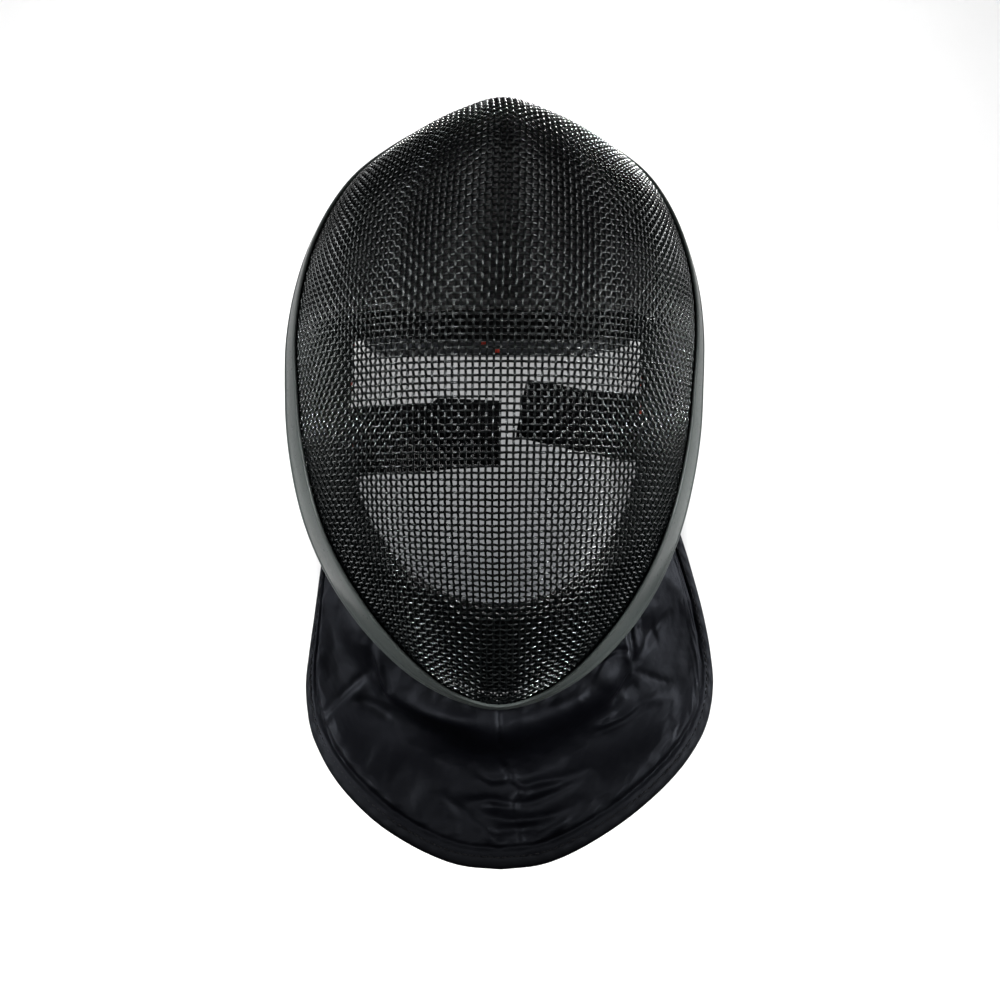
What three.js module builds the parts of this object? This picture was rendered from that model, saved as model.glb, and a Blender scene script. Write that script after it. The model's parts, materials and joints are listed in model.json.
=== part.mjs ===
// Fencing mask: a woven wire bowl with its rim trim, inner pads, head tongue, back straps and bib.
// Millimetres, +Z up, the face looks along -Y and +X is to the right of someone who looks at the face.
// The origin is where the crown of the wearer's head meets the crown pad.
// Depths below are measured back from the foremost point of the wire, heights from a level just above the jaw corners.
import * as THREE from 'three';
import { mergeVertices } from 'three/addons/utils/BufferGeometryUtils.js';

// ---- driving sizes ----
const SEAT = { depth: 100, height: 188 };            // the head seat in the depths and heights used below
const POLE_HEIGHT = 54.6;                            // height of the foremost point of the wire
const WIRE_LAYER = 2.0;                              // two 1 mm wires crossing
const TOUCH = 0.35;                                  // gap between neighbouring pieces
const TRIM = { thick: 1.5, over: 1.6, lip: 6 };      // moulded edge: wall, how far it passes the wire's edge, inner lip
const PAD = { clear: 3.1 };                           // pads start this far behind the wire layer
const BIB = { thick: 5, hem: 6.5, hemThick: 6, roll: 5.5, hollow: 8 };   // a roll under the chin, then a hollow above the flared hem
const TONGUE = { thick: 7, binding: 8, bow: 17, strip: [-72, 76, -62, 47] };   // strip: ends of the bound edge, above and below
const STRAP = { thick: 2.4 };
const TURNS = 60;                                     // steps round the bowl and its trim

// Edge of the wire, by the angle from straight up round the pole
const RIM = [
  { angle: 0, radius: 147.5, depth: 125 },
  { angle: 9, radius: 143.6, depth: 124.8 },
  { angle: 16, radius: 140.6, depth: 124.3 },
  { angle: 24, radius: 137.8, depth: 123.5 },
  { angle: 34, radius: 134.6, depth: 122.3 },
  { angle: 42, radius: 129.8, depth: 121.2 },
  { angle: 50, radius: 124.2, depth: 120 },
  { angle: 62, radius: 116.4, depth: 118.5 },
  { angle: 74, radius: 110.3, depth: 116.8 },
  { angle: 88, radius: 106.0, depth: 114.3 },
  { angle: 100, radius: 106.2, depth: 111.2 },
  { angle: 113, radius: 109.3, depth: 106.8 },
  { angle: 128, radius: 117.0, depth: 101.2 },
  { angle: 143, radius: 128.3, depth: 97.2 },
  { angle: 155, radius: 139.2, depth: 94.6 },
  { angle: 165, radius: 148.6, depth: 92 },
  { angle: 173, radius: 154.3, depth: 89.6 },
  { angle: 180, radius: 156.8, depth: 87.5 },
];
// Curve from the pole to the edge: the front handle is a share of the radius, the last handle is in mm,
// and turn is the slope of the wall at the edge
const FORM = [
  { angle: 0, lead: 0.36, pull: 97, turn: 98 },
  { angle: 45, lead: 0.48, pull: 74, turn: 84 },
  { angle: 90, lead: 0.60, pull: 56, turn: 73.5 },
  { angle: 135, lead: 0.53, pull: 47, turn: 72 },
  { angle: 180, lead: 0.466, pull: 38.5, turn: 73 },
];
// Visible width of the trim on the outside of the wire
const TRIM_WIDTH = [
  { angle: 0, width: 14 },
  { angle: 45, width: 17 },
  { angle: 90, width: 24 },
  { angle: 130, width: 23 },
  { angle: 150, width: 20 },
  { angle: 163, width: 15 },
  { angle: 172, width: 8 },
  { angle: 180, width: 4 },
];
// Front edges of the pads on the bowl: the window that the face looks through
const WINDOW = [
  { angle: 0, radius: 32.4 },
  { angle: 30, radius: 37.4 },
  { angle: 55, radius: 57 },
  { angle: 70, radius: 92 },
  { angle: 76, radius: 87 },
  { angle: 90, radius: 85 },
  { angle: 108, radius: 89.5 },
  { angle: 125, radius: 96.5 },
  { angle: 146, radius: 106 },
  { angle: 164, radius: 110.5 },
  { angle: 180, radius: 110.8 },
];
// Outer outline of the bib from the middle of its lower edge up to its ear corner
const BIB_OUTLINE = [
  { half: 0, depth: 92, height: -185.2 },
  { half: 20, depth: 92.6, height: -183.2 },
  { half: 36.8, depth: 94.2, height: -177.4 },
  { half: 58.3, depth: 98.2, height: -165.8 },
  { half: 73, depth: 102.5, height: -155 },
  { half: 85.5, depth: 107.5, height: -143.4 },
  { half: 94.8, depth: 112.3, height: -131.6 },
  { half: 102, depth: 116.6, height: -117.6 },
  { half: 105.2, depth: 119.4, height: -98 },
  { half: 103.6, depth: 119.5, height: -80 },
  { half: 100.4, depth: 118, height: -61 },
  { half: 96.6, depth: 115.4, height: -42 },
  { half: 92.8, depth: 112.5, height: -24 },
  { half: 89.4, depth: 110.5, height: -11 },
];
// Where the bib is sewn inside the rim: angle round the pole, how far inside the edge and how far behind it
const BIB_SEAT = [
  { share: 0, angle: 180, inset: 3, behind: 8.5 },
  { share: 0.3, angle: 166, inset: 3.5, behind: 8.5 },
  { share: 0.5, angle: 154, inset: 5, behind: 7.5 },
  { share: 0.75, angle: 140, inset: 12, behind: 7.5 },
  { share: 1, angle: 126, inset: 22, behind: 8 },
];
// The bib swings a little to one side: sideways shift of its outline by height
const BIB_SWAY = [
  { height: -190, shift: 1 },
  { height: -165, shift: 0.8 },
  { height: -150, shift: 2.4 },
  { height: -130, shift: 4.8 },
  { height: -105, shift: 6.6 },
  { height: -60, shift: 7.4 },
  { height: -35, shift: 6.2 },
  { height: -10, shift: 4.4 },
];
// The bowl is formed by hand and isn't quite straight: sideways lean by height
const LEAN = [
  { height: -110, shift: 0 },
  { height: -60, shift: -0.8 },
  { height: -10, shift: -2 },
  { height: 30, shift: -1.8 },
  { height: 80, shift: -1 },
  { height: 106, shift: 0 },
  { height: 130, shift: 0.8 },
  { height: 155, shift: 1.8 },
  { height: 180, shift: 2.8 },
  { height: 206, shift: 2.2 },
];
// Padded tongue behind the head, from the crown down
const TONGUE_PATH = [
  { share: 0, depth: 118, height: 186, half: 34, drop: 9.5 },
  { share: 0.25, depth: 148, height: 181, half: 50, drop: 13 },
  { share: 0.5, depth: 176, height: 159, half: 66, drop: 11 },
  { share: 0.75, depth: 192, height: 124, half: 80, drop: 6 },
  { share: 0.9, depth: 194, height: 99, half: 86, drop: 3.5 },
  { share: 0.96, depth: 193, height: 89, half: 87, drop: 2.5 },
  { share: 1, depth: 192, height: 82, half: 87, drop: 1.5 },
];
// Back straps: from the inside of the rim round to their free ends
const STRAP_LEFT = [
  { x: -90.5, depth: 113.5, height: 25, half: 18.4 },
  { x: -89.5, depth: 128, height: 27.5, half: 18.4 },
  { x: -78, depth: 152, height: 30.5, half: 18.4 },
  { x: -52, depth: 173, height: 34, half: 18.4 },
  { x: -35, depth: 181, height: 35.2, half: 18.4 },
  { x: -31, depth: 182.5, height: 36.8, half: 20.2 },
  { x: -13, depth: 187.5, height: 37.6, half: 19.4 },
  { x: 4, depth: 190, height: 37.8, half: 18.6 },
];
const STRAP_RIGHT = [
  { x: 90.5, depth: 113.5, height: 31, half: 18.2 },
  { x: 89.5, depth: 128, height: 34.5, half: 18.2 },
  { x: 78, depth: 151, height: 38.5, half: 18 },
  { x: 54, depth: 170, height: 43.5, half: 17.6 },
  { x: 35, depth: 180.5, height: 48, half: 17 },
  { x: 16.5, depth: 186.5, height: 52.2, half: 16.4 },
];
const STRAP_SLANT = 2.9;                              // the right strap's end leans by this much each side

// ---- tables and curves ----
// Smooth value of a column between the rows of a table, with level ends
function follow(rows, key, column, at) {
  const n = rows.length;
  const x = (i) => rows[i][key], y = (i) => rows[i][column];
  const slope = (i) => (y(i + 1) - y(i)) / (x(i + 1) - x(i));
  const tangent = (i) => {
    if (i === 0 || i === n - 1) return key === 'angle' ? 0 : slope(i === 0 ? 0 : n - 2);
    const before = x(i) - x(i - 1), after = x(i + 1) - x(i);
    return (slope(i - 1) * after + slope(i) * before) / (before + after);
  };
  let i = 0;
  while (i < n - 2 && at > x(i + 1)) i += 1;
  const h = x(i + 1) - x(i), u = Math.min(1, Math.max(0, (at - x(i)) / h));
  return (2 * u ** 3 - 3 * u * u + 1) * y(i) + (u ** 3 - 2 * u * u + u) * h * tangent(i)
    + (3 * u * u - 2 * u ** 3) * y(i + 1) + (u ** 3 - u * u) * h * tangent(i + 1);
}
const lean = (height) => follow(LEAN, 'height', 'shift', Math.min(206, Math.max(-110, height)));
const round = (rows, column, angle) => follow(rows, 'angle', column, Math.abs(((angle + 180) % 360 + 360) % 360 - 180));
const place = (x, depth, height) => new THREE.Vector3(x, depth - SEAT.depth, height - SEAT.height);

// The bowl's front: angle in degrees from straight up, t from 0 at the pole to 1 at the edge
function profile(angle, t) {
  const radius = round(RIM, 'radius', angle), depth = round(RIM, 'depth', angle);
  const turn = THREE.MathUtils.degToRad(round(FORM, 'turn', angle)), pull = round(FORM, 'pull', angle);
  const b1 = 3 * (1 - t) ** 2 * t, b2 = 3 * (1 - t) * t * t, b3 = t ** 3;
  return {
    r: b1 * round(FORM, 'lead', angle) * radius + b2 * (radius - pull * Math.cos(turn)) + b3 * radius,
    d: b2 * (depth - pull * Math.sin(turn)) + b3 * depth,
  };
}
function bowl(angle, t) {
  const { r, d } = profile(angle, t);
  const a = THREE.MathUtils.degToRad(angle);
  return place(r * Math.sin(a), d, POLE_HEIGHT + r * Math.cos(a));
}
function bowlNormal(angle, t) {
  if (t < 1e-3) return new THREE.Vector3(0, -1, 0);
  const k = 1e-3;
  const along = bowl(angle, Math.min(1, t + k)).sub(bowl(angle, Math.min(1, t + k) - 2 * k));
  const around = bowl(angle + 0.05, t).sub(bowl(angle - 0.05, t));
  return around.cross(along).normalize();
}
// Point of the bowl's surface, moved outward along its normal
const shell = (angle, t, out) => bowl(angle, t).addScaledVector(bowlNormal(angle, t), out);
// t of the point whose distance from the edge, along the surface, is back
function fromEdge(angle, back) {
  let t = 1, left = back, p = bowl(angle, 1);
  while (left > 0 && t > 0.01) {
    const q = bowl(angle, t - 0.01), step = p.distanceTo(q);
    if (step > left) return t - 0.01 * left / step;
    left -= step; t -= 0.01; p = q;
  }
  return t;
}
function atRadius(angle, radius) {
  let lo = 0, hi = 0.97;
  for (let i = 0; i < 40; i += 1) {
    const mid = (lo + hi) / 2;
    if (profile(angle, mid).r < radius) lo = mid; else hi = mid;
  }
  return lo;
}

// ---- solids ----
// A closed geometry whose points are moved by a function of position
function warped(geometry, move) {
  geometry.deleteAttribute('normal'); geometry.deleteAttribute('uv');
  const merged = mergeVertices(geometry, 1e-4);
  const at = merged.getAttribute('position');
  for (let i = 0; i < at.count; i += 1) {
    const p = move(at.getX(i), at.getY(i), at.getZ(i));
    at.setXYZ(i, p.x, p.y, p.z);
  }
  // triangles that close to a line at a pole are dropped, and the solid faces outward
  const index = merged.getIndex().array, kept = [];
  let volume = 0;
  const a = new THREE.Vector3(), b = new THREE.Vector3(), c = new THREE.Vector3();
  for (let i = 0; i < index.length; i += 3) {
    const [p, q, r] = [index[i], index[i + 1], index[i + 2]];
    if (p === q || q === r || p === r) continue;
    kept.push(p, q, r);
    a.fromBufferAttribute(at, p); b.fromBufferAttribute(at, q); c.fromBufferAttribute(at, r);
    volume += a.dot(b.cross(c));
  }
  if (volume < 0) for (let i = 0; i < kept.length; i += 3) [kept[i], kept[i + 1]] = [kept[i + 1], kept[i]];
  merged.setIndex(kept);
  merged.computeVertexNormals();
  return merged;
}
// A block of cells, bent by a function of three shares from 0 to 1
const bent = (nu, nv, nw, move) => warped(new THREE.BoxGeometry(1, 1, 1, nu, nv, nw), (x, y, z) => move(x + 0.5, y + 0.5, z + 0.5));
// A ring or dome turned round the pole: move takes the angle and the two profile values
const turned = (points, steps, move) => warped(
  new THREE.LatheGeometry(points.map(([x, y]) => new THREE.Vector2(x, y)), steps),
  (x, y, z) => move(THREE.MathUtils.radToDeg(Math.atan2(x, z)), Math.hypot(x, z), y),
);
// Normal of a sheet at (u, v)
function sheetNormal(sheet, u, v) {
  const k = 2e-3, u0 = Math.max(0, u - k), u1 = Math.min(1, u + k), v0 = Math.max(0, v - k), v1 = Math.min(1, v + k);
  return sheet(u1, v).sub(sheet(u0, v)).cross(sheet(u, v1).sub(sheet(u, v0))).normalize();
}
const thickened = (sheet, thick) => (u, v, w) => sheet(u, v).addScaledVector(sheetNormal(sheet, u, v), (w - 0.5) * thick);

const mask = new THREE.Group();
function add(name, geometry, color, roughness, metalness = 0) {
  const at = geometry.getAttribute('position');
  for (let i = 0; i < at.count; i += 1) at.setX(i, at.getX(i) + lean(at.getZ(i) + SEAT.height));
  const mesh = new THREE.Mesh(geometry, new THREE.MeshStandardMaterial({ color, roughness, metalness }));
  mesh.name = name;
  mask.add(mesh);
}

// ---- woven wire bowl: one thin dome where the two layers of wire cross ----
{
  const rows = 12, front = [], back = [];
  for (let i = 0; i <= rows; i += 1) {
    const t = (i / rows) ** 0.9;
    front.push([t, 0]); back.unshift([t, -WIRE_LAYER]);
  }
  add('wire_bowl', turned([...front, ...back], TURNS, (angle, t, out) => shell(angle, t, out)), 0x101213, 0.35, 0.6);
}

// ---- moulded trim: a channel over the wire's edge, with a wide band outside ----
{
  const out = 1.8 * TOUCH, top = out + TRIM.thick, inn = -WIRE_LAYER - 2.2 * TOUCH, low = inn - TRIM.thick, end = -TRIM.over - TOUCH;
  // profile: share 0..1 of the outer band from the edge in steps, or a distance past the edge, and the offset
  const ring = [
    [1, out], [1, top * 0.8], [0.94, top], [0.45, top], [0, top], [end * 0.75, top * 0.55], [end, inn / 2],
    [end * 0.75, low * 0.75], [0, low], [-100, low], [-100, inn], [-50, inn], [-50, out], [0.35, out], [0.7, out],
  ];
  const points = ring.map(([, y], i) => [10 + i, y]);
  points.push([10, ring[0][1]]);
  const channel = (angle, x, y) => {
    const [a] = ring[Math.round(x - 10)];
    const width = round(TRIM_WIDTH, 'width', angle);
    const back = a === -100 ? Math.min(TRIM.lip, width) : a === -50 ? -TOUCH : a > 0 ? a * width : a;
    if (back >= 0) return shell(angle, fromEdge(angle, back), y);
    const along = bowl(angle, 1).sub(bowl(angle, 0.99)).normalize();
    return shell(angle, 1, y).addScaledVector(along, -back);
  };
  add('rim_trim', turned(points, TURNS, channel), 0x50554f, 0.35);
}

// ---- pads behind the wire ----
function pad(name, from, to, steps, thick, stop, color) {
  const deep = WIRE_LAYER + PAD.clear;
  add(name, bent(steps, 7, 1, (u, v, w) => {
    const angle = THREE.MathUtils.lerp(from, to, u);
    const a = atRadius(angle, round(WINDOW, 'radius', angle)), b = fromEdge(angle, stop);
    const t = THREE.MathUtils.lerp(a, b, v);
    // the face of the pad is crowned towards its edges, and a little towards its ends, which meet the next pad
    const side = Math.min(1, Math.min(v, 1 - v) * 5 + 0.5), tip = Math.min(1, Math.min(u, 1 - u) * steps * 0.35 + 0.8);
    return shell(angle, t, -deep - (1 - w) * thick * side * tip);
  }), color, 0.9);
}
pad('crown_pad', -68, 68, 22, 11.5, 11.5, 0x3a3a3b);
pad('side_pad_left', -68.9, -125, 10, 14.5, 4, 0x151617);
pad('side_pad_right', 68.9, 125, 10, 14.5, 4, 0x151617);
pad('chin_pad', 125.7, 234.3, 18, 14.5, 4, 0x151617);

// ---- padded tongue behind the head, bound along its lower edge ----
{
  const length = 140;
  const end = 1 - TONGUE.binding / length;
  const at = (x, v) => place(x, follow(TONGUE_PATH, 'share', 'depth', v) - TONGUE.bow * (x / 72) ** 2,
    follow(TONGUE_PATH, 'share', 'height', v) - follow(TONGUE_PATH, 'share', 'drop', v) * (x / follow(TONGUE_PATH, 'share', 'half', v)) ** 2);
  const sheet = (u, v) => at((2 * u - 1) * follow(TONGUE_PATH, 'share', 'half', v), v);
  // the bound strip is narrower than the tongue
  const strip = (u, v) => {
    const k = Math.max(0, (v - end) / (1 - end)) ** 2, [a, b, c, d] = TONGUE.strip;
    return at(THREE.MathUtils.lerp(a + (c - a) * k, b + (d - b) * k, u), v);
  };
  add('head_tongue', bent(12, 12, 1, (u, v, w) => thickened(sheet, TONGUE.thick)(u, v * (end - TOUCH / length), w)), 0x121314, 0.85);
  add('tongue_binding', bent(12, 3, 1, (u, v, w) => thickened(strip, TONGUE.thick + 0.6)(u, end + v * (1 - end), w)), 0x3c4145, 0.7);
}

// ---- back straps ----
function strap(name, rows, slant) {
  const path = new THREE.CatmullRomCurve3(rows.map((r) => place(r.x, r.depth, r.height)), false, 'centripetal');
  const sheet = (u, v) => {
    const i = u * (rows.length - 1), k = Math.min(rows.length - 2, Math.floor(i));
    const half = THREE.MathUtils.lerp(rows[k].half, rows[k + 1].half, i - k);
    const p = path.getPoint(u), lift = (v - 0.5) * 2;
    // the free end is cut on a slant
    const lean = slant * lift * u ** 6;
    return new THREE.Vector3(p.x + lean, p.y, p.z + lift * half);
  };
  add(name, bent(21, 2, 1, thickened(sheet, STRAP.thick)), 0x0e0f10, 0.9);
}
strap('back_strap_left', STRAP_LEFT, 0);
strap('back_strap_right', STRAP_RIGHT, STRAP_SLANT);

// ---- bib: a padded wall that hangs from the jaw and chin, with a bound hem ----
{
  const outline = new THREE.CatmullRomCurve3(BIB_OUTLINE.map((r) => place(r.half, r.depth, r.height)), false, 'centripetal');
  const hemAt = (s) => outline.getPointAt(s);
  const seatAt = (s) => {
    const angle = follow(BIB_SEAT, 'share', 'angle', s), p = bowl(angle, 1), a = THREE.MathUtils.degToRad(angle);
    const inset = follow(BIB_SEAT, 'share', 'inset', s);
    return new THREE.Vector3(p.x - inset * Math.sin(a), p.y + follow(BIB_SEAT, 'share', 'behind', s), p.z - inset * Math.cos(a));
  };
  const cloth = (u, v) => {
    const s = Math.min(1, Math.abs(2 * u - 1)), sign = u < 0.5 ? -1 : 1;
    const p = seatAt(s).lerp(hemAt(s), v);
    if (s === 0) p.x = 0;
    p.x *= sign;
    p.x += v * follow(BIB_SWAY, 'height', 'shift', p.z + SEAT.height);
    const near = Math.max(0, 1 - s * s * 1.6);
    p.y += near * (BIB.hollow * Math.sin(Math.PI * Math.min(1, v * 1.05)) ** 2 - BIB.roll * Math.exp(-(((v - 0.2) / 0.09) ** 2)));
    return p;
  };
  const width = (u) => { const s = Math.abs(2 * u - 1); return seatAt(s).distanceTo(hemAt(s)); };
  // the gap to the hem opens a little towards the ear corners, where the cloth is narrow
  const gap = (u) => 2.6 * TOUCH + 2.6 * Math.abs(2 * u - 1) ** 6;
  const body = (u, v, w) => thickened(cloth, BIB.thick)(u, v * (1 - (BIB.hem + gap(u)) / width(u)), w);
  const hem = (u, v, w) => thickened(cloth, BIB.hemThick)(u, 1 - BIB.hem / width(u) * (1 - v), w);
  add('bib', bent(40, 8, 1, body), 0x17181b, 0.4);
  add('bib_hem', bent(40, 1, 1, hem), 0x141517, 0.45);
}

export default mask;
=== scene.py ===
import json
import math

import bpy
import numpy as np
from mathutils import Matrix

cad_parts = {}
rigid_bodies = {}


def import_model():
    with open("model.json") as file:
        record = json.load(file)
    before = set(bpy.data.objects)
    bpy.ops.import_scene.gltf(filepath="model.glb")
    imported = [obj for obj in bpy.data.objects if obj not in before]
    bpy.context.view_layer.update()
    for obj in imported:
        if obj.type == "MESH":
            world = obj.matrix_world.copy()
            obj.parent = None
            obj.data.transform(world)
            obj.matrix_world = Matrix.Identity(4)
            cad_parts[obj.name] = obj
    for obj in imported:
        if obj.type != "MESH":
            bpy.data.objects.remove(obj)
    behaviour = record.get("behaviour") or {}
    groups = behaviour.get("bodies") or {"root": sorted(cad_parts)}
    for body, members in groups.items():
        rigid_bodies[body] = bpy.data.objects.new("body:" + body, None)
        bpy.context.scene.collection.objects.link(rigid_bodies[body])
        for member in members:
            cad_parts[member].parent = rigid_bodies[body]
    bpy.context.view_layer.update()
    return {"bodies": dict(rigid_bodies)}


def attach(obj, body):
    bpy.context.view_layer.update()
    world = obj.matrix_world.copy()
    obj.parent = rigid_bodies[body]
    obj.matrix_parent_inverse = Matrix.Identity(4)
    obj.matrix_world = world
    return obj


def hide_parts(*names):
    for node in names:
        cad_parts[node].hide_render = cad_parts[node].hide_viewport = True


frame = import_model()
rng = np.random.default_rng(7)

# ------------------------------------------------------------------ sizes, in millimetres
# Depths are measured back from the foremost point of the wire, heights from a level just above the jaw
# corners, as in the construction. The origin of the frame is the head seat.
SEAT_DEPTH, SEAT_HEIGHT = 100.0, 188.0
POLE_HEIGHT = 54.6
PITCH, WIRE, CRIMP = 3.1, 1.28, 0.36   # pitch of the weave, wire with its lacquer, height of its waves
RIM = dict(
    angle=[0, 9, 16, 24, 34, 42, 50, 62, 74, 88, 100, 113, 128, 143, 155, 165, 173, 180],
    radius=[147.5, 143.6, 140.6, 137.8, 134.6, 129.8, 124.2, 116.4, 110.3, 106.0, 106.2, 109.3, 117.0, 128.3, 139.2, 148.6, 154.3, 156.8],
    depth=[125, 124.8, 124.3, 123.5, 122.3, 121.2, 120, 118.5, 116.8, 114.3, 111.2, 106.8, 101.2, 97.2, 94.6, 92, 89.6, 87.5],
)
FORM = dict(
    angle=[0, 45, 90, 135, 180],
    lead=[0.36, 0.48, 0.60, 0.53, 0.466],
    pull=[97, 74, 56, 47, 38.5],
    turn=[98, 84, 73.5, 72, 73],
)
TRIM_WIDTH = dict(angle=[0, 45, 90, 130, 150, 163, 172, 180], width=[14, 17, 24, 26, 24, 17, 8, 4])
WINDOW = dict(
    angle=[0, 30, 55, 70, 76, 90, 108, 125, 146, 164, 180],
    radius=[32.4, 37.4, 57, 92, 87, 85, 89.5, 96.5, 106, 110.5, 110.8],
)
BIB_OUTLINE = dict(
    half=[0, 20, 36.8, 58.3, 73, 85.5, 94.8, 102, 105.2, 103.6, 100.4, 96.6, 92.8, 89.4],
    depth=[92, 92.6, 94.2, 98.2, 102.5, 107.5, 112.3, 116.6, 119.4, 119.5, 118, 115.4, 112.5, 110.5],
    height=[-185.2, -183.2, -177.4, -165.8, -155, -143.4, -131.6, -117.6, -98, -80, -61, -42, -24, -11],
)
BIB_SEAT = dict(share=[0, 0.3, 0.5, 0.75, 1], angle=[180, 166, 154, 140, 126], inset=[3, 3.5, 5, 12, 22], behind=[8.5, 8.5, 7.5, 7.5, 8])
TONGUE_PATH = dict(
    share=[0, 0.25, 0.5, 0.75, 0.9, 0.96, 1],
    depth=[118, 148, 176, 192, 194, 193, 192],
    height=[186, 181, 159, 124, 99, 89, 82],
    half=[34, 50, 66, 80, 86, 87, 87],
    drop=[9.5, 13, 11, 6, 3.5, 2.5, 1.5],
)
TONGUE_STRIP = (-72.0, 76.0, -62.0, 47.0)      # ends of the bound edge, above and below
BIB_SWAY = dict(height=[-190, -165, -150, -130, -105, -60, -35, -10], shift=[1, 0.8, 2.4, 4.8, 6.6, 7.4, 6.2, 4.4])
LEAN = dict(height=[-110, -60, -10, 30, 80, 106, 130, 155, 180, 206], shift=[0, -0.8, -2, -1.8, -1, 0, 0.8, 1.8, 2.8, 2.2])
STRAP_LEFT = dict(
    x=[-90.5, -89.5, -78, -52, -35, -31, -13, 4],
    depth=[113.5, 128, 152, 173, 181, 182.5, 187.5, 190],
    height=[25, 27.5, 30.5, 34, 35.2, 36.8, 37.6, 37.8],
    half=[18.4, 18.4, 18.4, 18.4, 18.4, 20.2, 19.4, 18.6],
)
STRAP_RIGHT = dict(
    x=[90.5, 89.5, 78, 54, 35, 16.5],
    depth=[113.5, 128, 151, 170, 180.5, 186.5],
    height=[31, 34.5, 38.5, 43.5, 48, 52.2],
    half=[18.2, 18.2, 18, 17.6, 17, 16.4],
)


# ------------------------------------------------------------------ tables, curves and surfaces
def hermite(x, y, at, level):
    x, y, at = np.asarray(x, float), np.asarray(y, float), np.asarray(at, float)
    h = np.diff(x)
    s = np.diff(y) / h
    m = np.empty_like(y)
    m[1:-1] = (s[:-1] * h[1:] + s[1:] * h[:-1]) / (h[1:] + h[:-1])
    m[0], m[-1] = (0, 0) if level else (s[0], s[-1])
    i = np.clip(np.searchsorted(x, at, side="right") - 1, 0, len(h) - 1)
    u = np.clip((at - x[i]) / h[i], 0, 1)
    return ((2 * u**3 - 3 * u**2 + 1) * y[i] + (u**3 - 2 * u * u + u) * h[i] * m[i]
            + (3 * u * u - 2 * u**3) * y[i + 1] + (u**3 - u * u) * h[i] * m[i + 1])


def round_table(t, key, a):
    """A column of a table by angle, mirrored about straight up."""
    return hermite(t["angle"], t[key], np.abs((np.asarray(a, float) + 180) % 360 - 180), True)


def lean(height):
    return hermite(LEAN["height"], LEAN["shift"], np.clip(height, -110, 206), False)


def column(t, key, at):
    return hermite(t["share"], t[key], at, False)


def bowl(a, t):
    """The wire's front: angle in degrees from straight up, t from 0 at the pole to 1 at the edge."""
    a, t = np.broadcast_arrays(np.asarray(a, float), np.asarray(t, float))
    R, D = round_table(RIM, "radius", a), round_table(RIM, "depth", a)
    lead, pull = round_table(FORM, "lead", a) * R, round_table(FORM, "pull", a)
    w = np.radians(round_table(FORM, "turn", a))
    b1, b2, b3 = 3 * (1 - t) ** 2 * t, 3 * (1 - t) * t * t, t**3
    r = b1 * lead + b2 * (R - pull * np.cos(w)) + b3 * R
    d = b2 * (D - pull * np.sin(w)) + b3 * D
    A = np.radians(a)
    return np.stack([r * np.sin(A), d, POLE_HEIGHT + r * np.cos(A)], -1)


def unit(v):
    return v / np.maximum(np.linalg.norm(v, axis=-1, keepdims=True), 1e-12)


def bowl_normal(a, t):
    """Outward, away from the head."""
    a, t = np.broadcast_arrays(np.asarray(a, float), np.asarray(t, float))
    tt = np.clip(t, 0.004, 1.0)
    along = bowl(a, np.minimum(tt + 1e-3, 1)) - bowl(a, np.minimum(tt + 1e-3, 1) - 2e-3)
    around = bowl(a + 0.05, tt) - bowl(a - 0.05, tt)
    n = unit(np.cross(around, along))
    return np.where((t < 0.004)[..., None], np.array([0.0, -1.0, 0.0]), n)


def shell(a, t, out):
    return bowl(a, t) + bowl_normal(a, t) * np.asarray(out, float)[..., None]


ARC_A = np.arange(-180, 180.01, 1.5)
ARC_T = np.linspace(0, 1, 301)
_p = bowl(ARC_A[:, None], ARC_T[None, :])
ARC = np.concatenate([np.zeros((len(ARC_A), 1)), np.cumsum(np.linalg.norm(np.diff(_p, axis=1), axis=-1), axis=1)], 1)
RAD = np.hypot(_p[..., 0], _p[..., 2] - POLE_HEIGHT)


def _by_angle(table, a, value, from_end):
    """t where a column of table, per angle, takes a value: linear between the sampled angles."""
    a = np.asarray(a, float)
    a, value = np.broadcast_arrays(a, np.asarray(value, float))
    k = (((a + 180) % 360) / 1.5)
    i = np.clip(np.floor(k).astype(int), 0, len(ARC_A) - 2)
    f = k - i
    out = np.empty(a.shape)
    for idx in np.ndindex(a.shape):
        got = []
        for j in (i[idx], i[idx] + 1):
            row = table[j]
            got.append(np.interp(row[-1] - value[idx] if from_end else value[idx], row, ARC_T))
        out[idx] = got[0] * (1 - f[idx]) + got[1] * f[idx]
    return out


def from_edge(a, back):
    return _by_angle(ARC, a, back, True)


def at_radius(a, radius):
    return _by_angle(np.maximum.accumulate(RAD, axis=1) + ARC_T * 1e-6, a, radius, False)


def spline(points, at, uniform=True):
    """Centripetal curve through points, at shares of its length (or of its knots)."""
    p = np.asarray(points, float)
    d = np.maximum(np.linalg.norm(np.diff(p, axis=0), axis=1) ** 0.5, 1e-6)
    k = np.concatenate([[0], np.cumsum(d)])
    def val(x):
        return np.stack([hermite(k, p[:, c], x, False) for c in range(3)], -1)
    if not uniform:
        knots = np.interp(np.asarray(at, float) * (len(p) - 1), np.arange(len(p)), k)
        return val(knots)
    fine = np.linspace(0, k[-1], 1200)
    q = val(fine)
    s = np.concatenate([[0], np.cumsum(np.linalg.norm(np.diff(q, axis=0), axis=1))])
    return val(np.interp(np.asarray(at, float) * s[-1], s, fine))


# ------------------------------------------------------------------ meshes
ROOT = next(iter(frame["bodies"])) if isinstance(frame["bodies"], (list, tuple)) else sorted(frame["bodies"])[0]
made = []


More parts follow.
